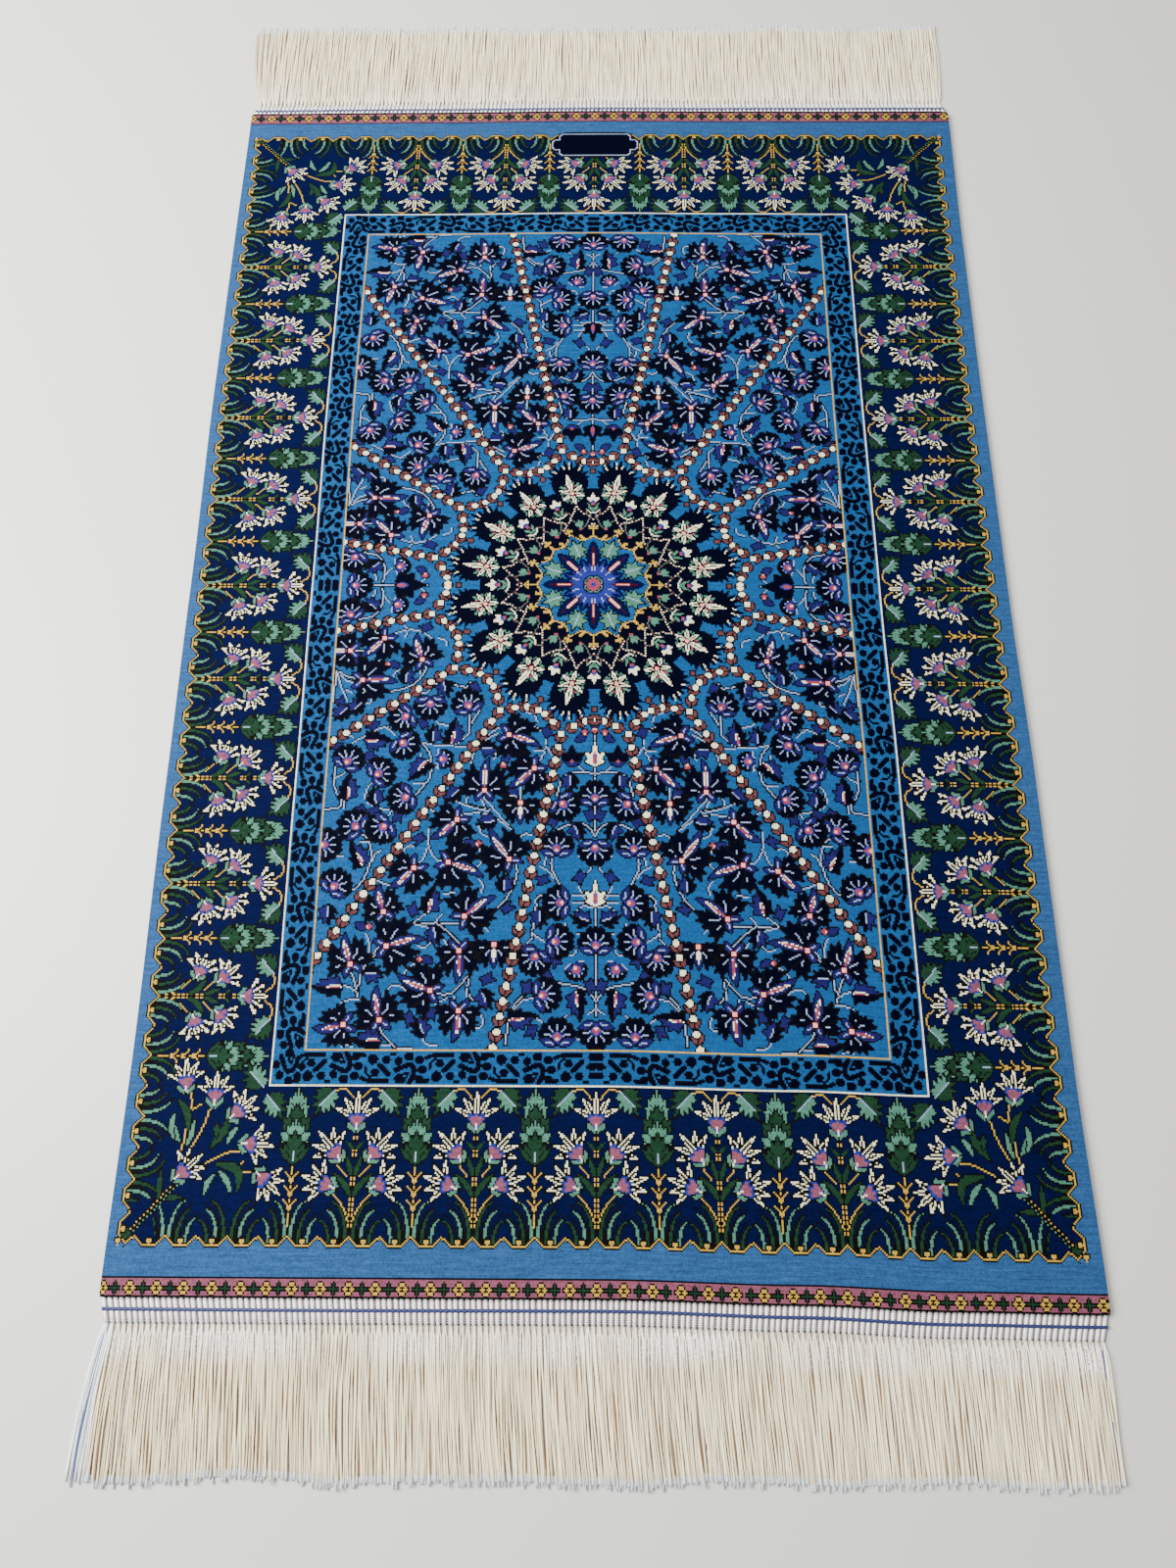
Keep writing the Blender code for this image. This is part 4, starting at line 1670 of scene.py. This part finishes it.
@dataclass(frozen=True)
class RugEnd:
    """What lies past the pile at one end. Outwards is -1 at the near end and 1 at the far end."""

    name: str
    outwards: int
    outline: Outline
    depth: float
    splay_left: float
    splay_right: float
    splay_grip: float = 40.0

    def place(self, u: np.ndarray, past: np.ndarray) -> tuple:
        """The floor's x and y in metres at shares of the width, a distance past the pile's edge.

        Args:
            u: Shares from the left side.
            past: Distances past the pile, in metres.

        Returns:
            Arrays of x and y.
        """
        x, y = self.outline.place(u, np.full_like(u, 0.5 + 0.5 * self.outwards))
        drawn_in = self.outline.heading_pull_in / self.outline.half_width * np.minimum(past / self.depth, 1)
        return x * (1 - drawn_in), y + self.outwards * past

    def opened(self, u: np.ndarray, share: np.ndarray) -> np.ndarray:
        """How far the fringe has splayed sideways, a share of the way to its tips, in metres.

        Args:
            u: Shares from the left side.
            share: Shares of the way.

        Returns:
            The distances, in metres.
        """
        side = 2 * u - 1
        splay = np.where(side > 0, self.splay_right, self.splay_left) * np.abs(side) ** self.splay_grip
        return splay * np.sin(share * math.pi / 2)


@dataclass(frozen=True)
class Heading:
    """The flat-woven band at one end: a dark ground, thin rungs, wrapped ribs over them and a coloured thread."""

    end: RugEnd
    thread_at: float
    rungs: int
    zigzag: float
    ribs: int = 168
    rib_share: float = 0.60
    rung_share: float = 0.42
    thread_width: float = 0.0019
    ground_height: float = 0.0004
    rung_height: float = 0.0007
    rib_height: float = 0.0012
    thread_height: float = 0.0017
    thread_sink: float = 0.0003
    thread_drift: float = 0.00025
    thread_rise: float = 0.00015
    rib_wander: float = 0.05
    rib_bulge: float = 0.12

    def build(self, finishes: dict) -> list:
        """Makes its pieces, the ground first.

        Args:
            finishes: Materials by part: ground, rung, rib and thread.

        Returns:
            The pieces.
        """
        ground, rung = finishes["ground"], finishes["rung"]
        return [
            self.band("ground", ground, 1, 1.0, (0.0, 1.0), (0.0, self.ground_height)),
            self.band("rungs", rung, self.rungs, self.rung_share, (0.06, 0.94), (0.0002, self.rung_height)),
            self.rib_piece(finishes["rib"]),
            self.thread_piece(finishes["thread"]),
        ]

    def strips(
        self, part: str, finish: bpy.types.Material, count: int, faces: int, width: float, skirt: float
    ) -> tuple:
        """Makes mapped strips of a width that is a share of their pitch.

        Args:
            part: The piece's name, after the end's.
            finish: Their material.
            count: How many.
            faces: Faces along each.
            width: Their width.
            skirt: How far a wall's foot is set out on the map, as a share of the pitch.

        Returns:
            The piece, and each point's place across, along and up, with the number of its strip.
        """
        made, halves, along, top = Mesher.comb(f"{self.end.name}_{part}", count, faces, finish)
        strip = np.floor(halves / 2)
        across = (strip + 0.5 + (halves - 2 * strip - 0.5) * width) / count
        Mesher.comb_map(made.data, halves, across, along, top, skirt / count)
        return made, across, along, top, strip

    def band(
        self, part: str, finish: bpy.types.Material, count: int, width: float, span: tuple, heights: tuple
    ) -> bpy.types.Object:
        """Strips that run across the rug.

        Args:
            part: The piece's name, after the end's.
            finish: Their material.
            count: How many.
            width: Each strip's width as a share of its pitch.
            span: Where they start and end, as shares of the heading's depth.
            heights: Their lower and upper sides, in metres.

        Returns:
            The piece.
        """
        made, across, along, top, _ = self.strips(part, finish, count, 48, width, 0.3)
        x, y = self.end.place(along, self.end.depth * (span[0] + (span[1] - span[0]) * across))
        Mesher.move(made.data, x, y, heights[0] + (heights[1] - heights[0]) * top)
        return made

    def rib_piece(self, finish: bpy.types.Material) -> bpy.types.Object:
        """The white ribs, which wander and swell a little.

        Args:
            finish: Their silk.

        Returns:
            The piece.
        """
        made, across, along, top, strip = self.strips("ribs", finish, self.ribs, 3, self.rib_share, 0.12)
        wander = self.rib_wander * np.sin(2.1 * strip + self.end.outwards) / self.ribs
        x, y = self.end.place(across + wander, self.end.depth * along)
        bulge = 1 + self.rib_bulge * np.sin(1.7 * strip + 2.4 * along)
        Mesher.move(made.data, x, y, 0.0001 + self.rib_height * bulge * top)
        return made

    def thread_piece(self, finish: bpy.types.Material) -> bpy.types.Object:
        """The coloured thread that runs over and under the ribs.

        Args:
            finish: Its silk.

        Returns:
            The piece.
        """
        made, across, along, top, _ = self.strips("thread", finish, 1, 4 * self.ribs, 1.0, 0.3)
        beat = 2 * math.pi * self.ribs * along
        drift = self.thread_drift * np.sin(9 * along) + self.zigzag * np.sin(beat)
        x, y = self.end.place(along, self.thread_at + self.thread_width * (across - 0.5) + drift)
        foot = self.rib_height - self.thread_sink
        lift = self.thread_rise * np.sin(beat + 0.8)
        Mesher.move(made.data, x, y, foot + lift + (self.thread_height - foot) * top)
        return made


@dataclass(frozen=True)
class Fringe:
    """The warps at one end: threads that leave each rib in a bundle and spread out, in layers over each other."""

    end: RugEnd
    lean: tuple
    seed: int
    ribs: int = 168
    per_rib: int = 6
    steps: int = 12
    width: float = 0.00098
    height: float = 0.00042
    spread_over: float = 0.009
    uneven: float = 0.0090
    # A strand is this many threads, the first of them lowest. The near end's first bundle of threads is white.
    strand: int = 3
    bundle: int = 9
    # How light each layer is: the lowest takes the shade colour fully, as painted shade between the threads above
    # it.
    painted_shade_tones: tuple = (0.0, 0.8, 0.95)
    white_thread: float = 2.0
    blue_thread: float = 3.0
    # How a thread differs from its neighbours: in its lane, as a share of its rib's, and in its width.
    stray: float = 0.06
    widths: tuple = (0.85, 1.15)
    # How high the lowest layer lies, how far the next lies above it, and how far a thread ripples up and down.
    lift: float = 0.0006
    layer_gap: float = 0.00045
    ripple: float = 0.0002
    # How many clumps and wider swells lie along the fringe, and how far they and a thread's own curl reach.
    clumps: int = 75
    swells: int = 23
    clump_reach: float = 0.0012
    swell_reach: float = 0.0016
    curl: float = 0.0005

    def build(self, finish: bpy.types.Material) -> bpy.types.Object:
        """Makes the threads, in their silk.

        Args:
            finish: The silk.

        Returns:
            The piece.
        """
        count = self.ribs * self.per_rib
        made, halves, along, high = Mesher.comb(f"{self.end.name}_threads", count, self.steps, finish)
        thread = (halves // 2).astype(int)
        side = halves - 2 * thread
        chance = np.random.default_rng(self.seed)
        number = np.arange(count)
        lane = (number % self.per_rib + 0.5) / self.per_rib - 0.5 + chance.uniform(-self.stray, self.stray, count)
        layer = np.minimum(number % self.strand, 1 + number % 2)
        share = along**1.35
        root = (number // self.per_rib + 0.5) / self.ribs
        x, y = self.way(root, lane / self.ribs, thread, share, chance)
        flare = 1 + 0.5 * np.clip((share - 0.95) / 0.05, 0, 1) - 0.25 * np.clip(1 - share / 0.04, 0, 1)
        swell = chance.uniform(*self.widths, count)[thread] * flare
        level = self.layer_gap * layer[thread] + self.ripple * np.sin(5 * share + thread)
        level = self.lift + level * np.clip(share * 8, 0, 1)
        # A thread is a diamond: its bar's corners are its lower, left, right and upper edges.
        off = side + high - 1
        Mesher.comb_map(made.data, halves, (thread + 0.5 + 0.5 * off) / count, share, (1 + high - side) / 2, 0.0)
        self.note_tones(made.data, layer, share, thread, chance)
        Mesher.move(made.data, x + 0.5 * self.width * swell * off, y, level + self.height * swell * (high - side))
        return made

    def way(
        self, root: np.ndarray, lane: np.ndarray, thread: np.ndarray, share: np.ndarray, chance: np.random.Generator
    ) -> tuple:
        """Where the threads run.

        Args:
            root: Each thread's rib, as a share of the width.
            lane: Its own place beside that, as a share of the width.
            thread: The thread of each point.
            share: Each point's share of the way to the tip.
            chance: The random numbers' source.

        Returns:
            Arrays of x and y in metres.
        """
        count = len(root)
        length = self.end.outline.fringe_reach - self.end.depth - 0.47
        spread = smooth(np.clip(share * length / self.spread_over, 0, 1))
        u = root[thread] + lane[thread] * (0.35 + 0.65 * spread)
        x, root_y = self.end.place(u, np.full_like(u, self.end.depth - 0.0006))
        clumps, swells = (
            np.interp(u, np.linspace(0, 1, number), chance.uniform(-1, 1, number))
            for number in (self.clumps, self.swells)
        )
        lean = np.interp(u, np.linspace(0, 1, len(self.lean)), self.lean)
        phase = chance.uniform(0, 2 * math.pi, count)[thread]
        x = x + self.end.opened(u, share) + lean * share**1.6 * (1 - (2 * u - 1) ** 8)
        bent = self.clump_reach * clumps * share + self.swell_reach * swells * np.sin(2.6 * share)
        x = x + bent * (1 - (2 * u - 1) ** 6)
        x = x + self.curl * spread * np.sin((4 + thread % 5) * share + phase)
        waves = 0.5 + 0.25 * np.sin(27 * u + self.seed) + 0.25 * swells
        short = self.uneven * (0.55 * waves + 0.45 * (1 - chance.uniform(0, 1, count)[thread] ** 3))
        tip = self.end.outwards * (self.end.outline.fringe_reach - short)
        return x, root_y + (tip - root_y) * share

    def note_tones(
        self,
        mesh: bpy.types.Mesh,
        layer: np.ndarray,
        share: np.ndarray,
        thread: np.ndarray,
        chance: np.random.Generator,
    ) -> None:
        """Notes each thread's own tone, darker as painted shade for a lower one, and the share of the way, in a map
        for the silk.

        Args:
            mesh: The threads.
            layer: Each thread's layer.
            share: Each point's share of the way to the tip.
            thread: The thread of each point.
            chance: The random numbers' source.
        """
        tone = np.array(self.painted_shade_tones)[layer] + chance.uniform(-0.2, 0.15, len(layer))
        tone = np.clip(tone, 0, 1)
        if self.end.outwards < 0:
            tone[: self.bundle] = self.white_thread
            tone[[4, -5]] = self.blue_thread
        Mesher.map_of(mesh, "thread_tone", tone[thread], share)


@dataclass(frozen=True)
class ThreadSilk:
    """The fringe's finish: cream silk, with painted shade on its lower threads, painted white glints near its root,
    and bluish white tips, partly frayed and partly painted sheen.
    """

    cream: tuple = linear(255, 242, 202)
    # The painted shade of the lower threads, where the upper threads shadow them.
    shade: tuple = linear(126, 88, 50)
    # The white of the painted glints near the roots.
    glare: tuple = linear(252, 253, 254)
    # The frayed tips' bluish white: partly their own frayed fibres, partly painted sheen.
    tips: tuple = linear(240, 248, 255)
    blue: tuple = linear(40, 58, 128)
    roughness: float = 0.5
    sheen: float = 0.3

    def make(self, name: str, root_glare: float) -> bpy.types.Material:
        """Makes the material.

        Args:
            name: Its name.
            root_glare: How strong the painted white glints near its roots are.

        Returns:
            The material.
        """
        silk = Finish(name, Roughness=self.roughness, Sheen_Weight=self.sheen, Sheen_Roughness=0.4)
        tone, share, _ = silk.split(silk.add("UVMap", uv_map="thread_tone").outputs[0])
        where = silk.add("TexCoord").outputs["Object"]
        speckle = silk.ramp(silk.noise(800.0, where, rough=0.6), (0.46, 0.0), (0.56, 1.0))
        patches = silk.ramp(silk.noise(16.0, where), (0.35, 0.2), (0.6, 1.0))
        # Painted shade: lower threads are mixed from the cream towards the shade colour.
        colour = silk.mix(silk.sum("MINIMUM", tone, 1.0), self.shade, self.cream)
        # Painted highlight: white glints, speckled and in patches, near the root, where the threads catch the light.
        root = silk.ramp(share, (0.0, 0.0), (0.05, 1.0), (0.16, 1.0), (0.30, 0.0))
        white = silk.sum("MULTIPLY", silk.sum("MULTIPLY", root, root_glare), silk.sum("ADD", speckle, 0.15))
        colour = silk.mix(silk.sum("MULTIPLY", white, patches), colour, self.glare)
        # The tips are paler, raggedly: partly from fraying and partly as painted sheen. The white bundle is pale all
        # along.
        ends = silk.ramp(share, (0.95, 0.0), (0.965, 0.9), (1.0, 1.0))
        ragged = silk.sum("ADD", 0.65, silk.sum("MULTIPLY", speckle, 0.35))
        bundle = silk.sum("MULTIPLY", silk.sum("GREATER_THAN", tone, 1.5), 0.85)
        pale = silk.sum("MAXIMUM", silk.sum("MULTIPLY", ends, ragged), bundle)
        colour = silk.mix(pale, colour, self.tips)
        colour = silk.mix(silk.sum("GREATER_THAN", tone, 2.5), colour, self.blue)
        silk.feed(silk.shader.inputs["Base Color"], colour)
        return silk.material


@dataclass(frozen=True)
class HeadingSilk:
    """A heading's finish: silk of one colour, mottled a little."""

    colour: tuple
    roughness: float
    darker: float = 0.72

    def make(self, name: str) -> bpy.types.Material:
        """Makes the material, under a name.

        Args:
            name: Its name.

        Returns:
            The material.
        """
        silk = Finish(name, Roughness=self.roughness, Sheen_Weight=0.25)
        where = silk.add("TexCoord").outputs["Object"]
        mottle = silk.ramp(silk.noise(700.0, where), (0.3, 0.0), (0.7, 1.0))
        shaded = (*[part * self.darker for part in self.colour[:3]], 1.0)
        silk.feed(silk.shader.inputs["Base Color"], silk.mix(mottle, shaded, self.colour))
        return silk.material


@dataclass(frozen=True)
class Studio:
    """The floor, the lights and the camera, set as the photograph was taken."""

    floor_size: float = 6.0
    floor_drop: float = 0.0002
    sky: tuple = (0.92, 0.96, 1.0, 1)
    sky_strength: float = 0.55
    # Each lamp's name, place, size and power: a wide one overhead and a nearer one from the left.
    lamps: tuple = (("overhead", (-0.8, 0.8, 2.2), 1.8, 46.0), ("window", (-1.3, 0.1, 1.1), 1.0, 100.0))
    # The camera, solved from the straight lines of the rug and the floor.
    lens: float = 24.9525
    sensor: float = 36.0
    eye: tuple = (0.0000, -0.3797, 0.7106)
    right: tuple = (0.99996264, 0.00485525, -0.00715135)
    down: tuple = (0.00236751, -0.94954377, -0.31362562)
    forward: tuple = (-0.00831325, 0.31359697, -0.94951979)

    def build(self) -> None:
        """Makes the floor, the lights and the camera."""
        self.floor()
        self.lights()
        self.camera()

    def floor(self) -> None:
        """A plain pale floor."""
        bm = bmesh.new()
        bmesh.ops.create_grid(bm, x_segments=1, y_segments=1, size=self.floor_size / 2)
        bmesh.ops.translate(bm, verts=bm.verts, vec=(0, 0, -self.floor_drop))
        plain = Finish("floor_plain", Base_Color=linear(204, 202, 194), Roughness=0.45)
        Mesher.piece("studio_floor", bm, plain.material)

    def lights(self) -> None:
        """A pale sky and the soft lamps."""
        scene = bpy.context.scene
        scene.world = bpy.data.worlds.new("studio")
        scene.world.use_nodes = True
        colour, strength = scene.world.node_tree.nodes["Background"].inputs[:2]
        colour.default_value, strength.default_value = self.sky, self.sky_strength
        for name, place, size, power in self.lamps:
            lamp = bpy.data.lights.new(name, "AREA")
            lamp.size, lamp.energy = size, power
            made = bpy.data.objects.new(name, lamp)
            made.location = place
            made.rotation_euler = (-Vector(place)).to_track_quat("-Z", "Y").to_euler()
            scene.collection.objects.link(made)

    def camera(self) -> None:
        """The camera, where the photograph was taken from."""
        lens = bpy.data.cameras.new("view")
        lens.lens, lens.sensor_width, lens.clip_start = self.lens, self.sensor, 0.01
        made = bpy.data.objects.new("view", lens)
        turned = Matrix((self.right, -Vector(self.down), -Vector(self.forward))).transposed()
        made.matrix_world = Matrix.Translation(self.eye) @ turned.to_4x4()
        bpy.context.scene.collection.objects.link(made)
        bpy.context.scene.camera = made


class Rug:
    """The whole rug: its pile, and a heading and a fringe at each end."""

    NEAR_LEAN = (0.004, 0.005, 0.005, 0.0055, 0.006, 0.004, 0.001, 0.001)
    FAR_LEAN = (0.001, 0.002, 0.001, 0.0, -0.001, 0.001, 0.002, 0.001)
    PILE_FLAT = (0.600, 0.933)
    HEADING_WIDTHS = (0.596, 0.598)
    # How strong the painted glints near the fringes' roots are, at the near end and at the far end.
    ROOT_GLARES = (1.0, 0.5)
    HEADING_SILKS = {
        "ground": HeadingSilk(linear(104, 68, 62), 0.8),
        "rung": HeadingSilk(linear(196, 180, 174), 0.7),
        "rib": HeadingSilk(linear(253, 252, 252), 0.6),
        "thread": HeadingSilk(linear(10, 24, 84), 0.6),
    }

    def __init__(self) -> None:
        """Sets out its two ends."""
        self.outline = Outline()
        self.near = RugEnd("near", -1, self.outline, 0.0145, splay_left=-0.0122, splay_right=0.0010)
        self.far = RugEnd("far", 1, self.outline, 0.0115, splay_left=-0.01055, splay_right=0.0030)

    def build(self) -> None:
        """Builds every piece, and says which part of the frame it shows."""
        self.pile()
        self.headings()
        self.fringes()

    def pile(self) -> None:
        """The knotted pile."""
        pile = Pile(self.outline)
        made = pile.build(RugDesign().chart(), PileSilk().make(pile))
        self.hand_over(made, "pile", "pile_silk")
        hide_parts("pile")

    def headings(self) -> None:
        """The flat-woven headings."""
        finishes = {part: silk.make("heading_" + part) for part, silk in self.HEADING_SILKS.items()}
        near = Heading(self.near, thread_at=0.0066, rungs=11, zigzag=0.0)
        far = Heading(self.far, thread_at=0.0052, rungs=7, zigzag=0.0006, rib_share=0.72)
        for heading, width in zip((near, far), self.HEADING_WIDTHS):
            node = heading.end.name + "_heading"
            pieces = heading.build(finishes)
            for made in pieces:
                self.hand_over(made, node, "heading_silk")
            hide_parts(node)

    def fringes(self) -> None:
        """The fringes."""
        near = Fringe(self.near, self.NEAR_LEAN, seed=4)
        far = Fringe(self.far, self.FAR_LEAN, seed=9, strand=5)
        for fringe, white in zip((near, far), self.ROOT_GLARES):
            node = fringe.end.name + "_fringe"
            made = fringe.build(ThreadSilk().make(fringe.end.name + "_thread_silk", white))
            self.hand_over(made, node, "fringe_silk")
            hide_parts(node)

    @staticmethod
    def hand_over(made: bpy.types.Object, node: str, slot: str) -> None:
        """Has a piece ride with the rug, and logs it.

        Args:
            made: The piece.
            node: The part of the frame that it shows.
            slot: Its slot; not used.
        """
        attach(made, "root")
        LOG.info("%s for %s: %d faces", made.name, node, len(made.data.polygons))


def main() -> None:
    """Builds the studio and the rug, piece by piece."""
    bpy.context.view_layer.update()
    Studio().build()
    Rug().build()
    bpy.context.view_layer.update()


if __name__ == "__main__":
    logging.basicConfig(level=logging.INFO)
    main()
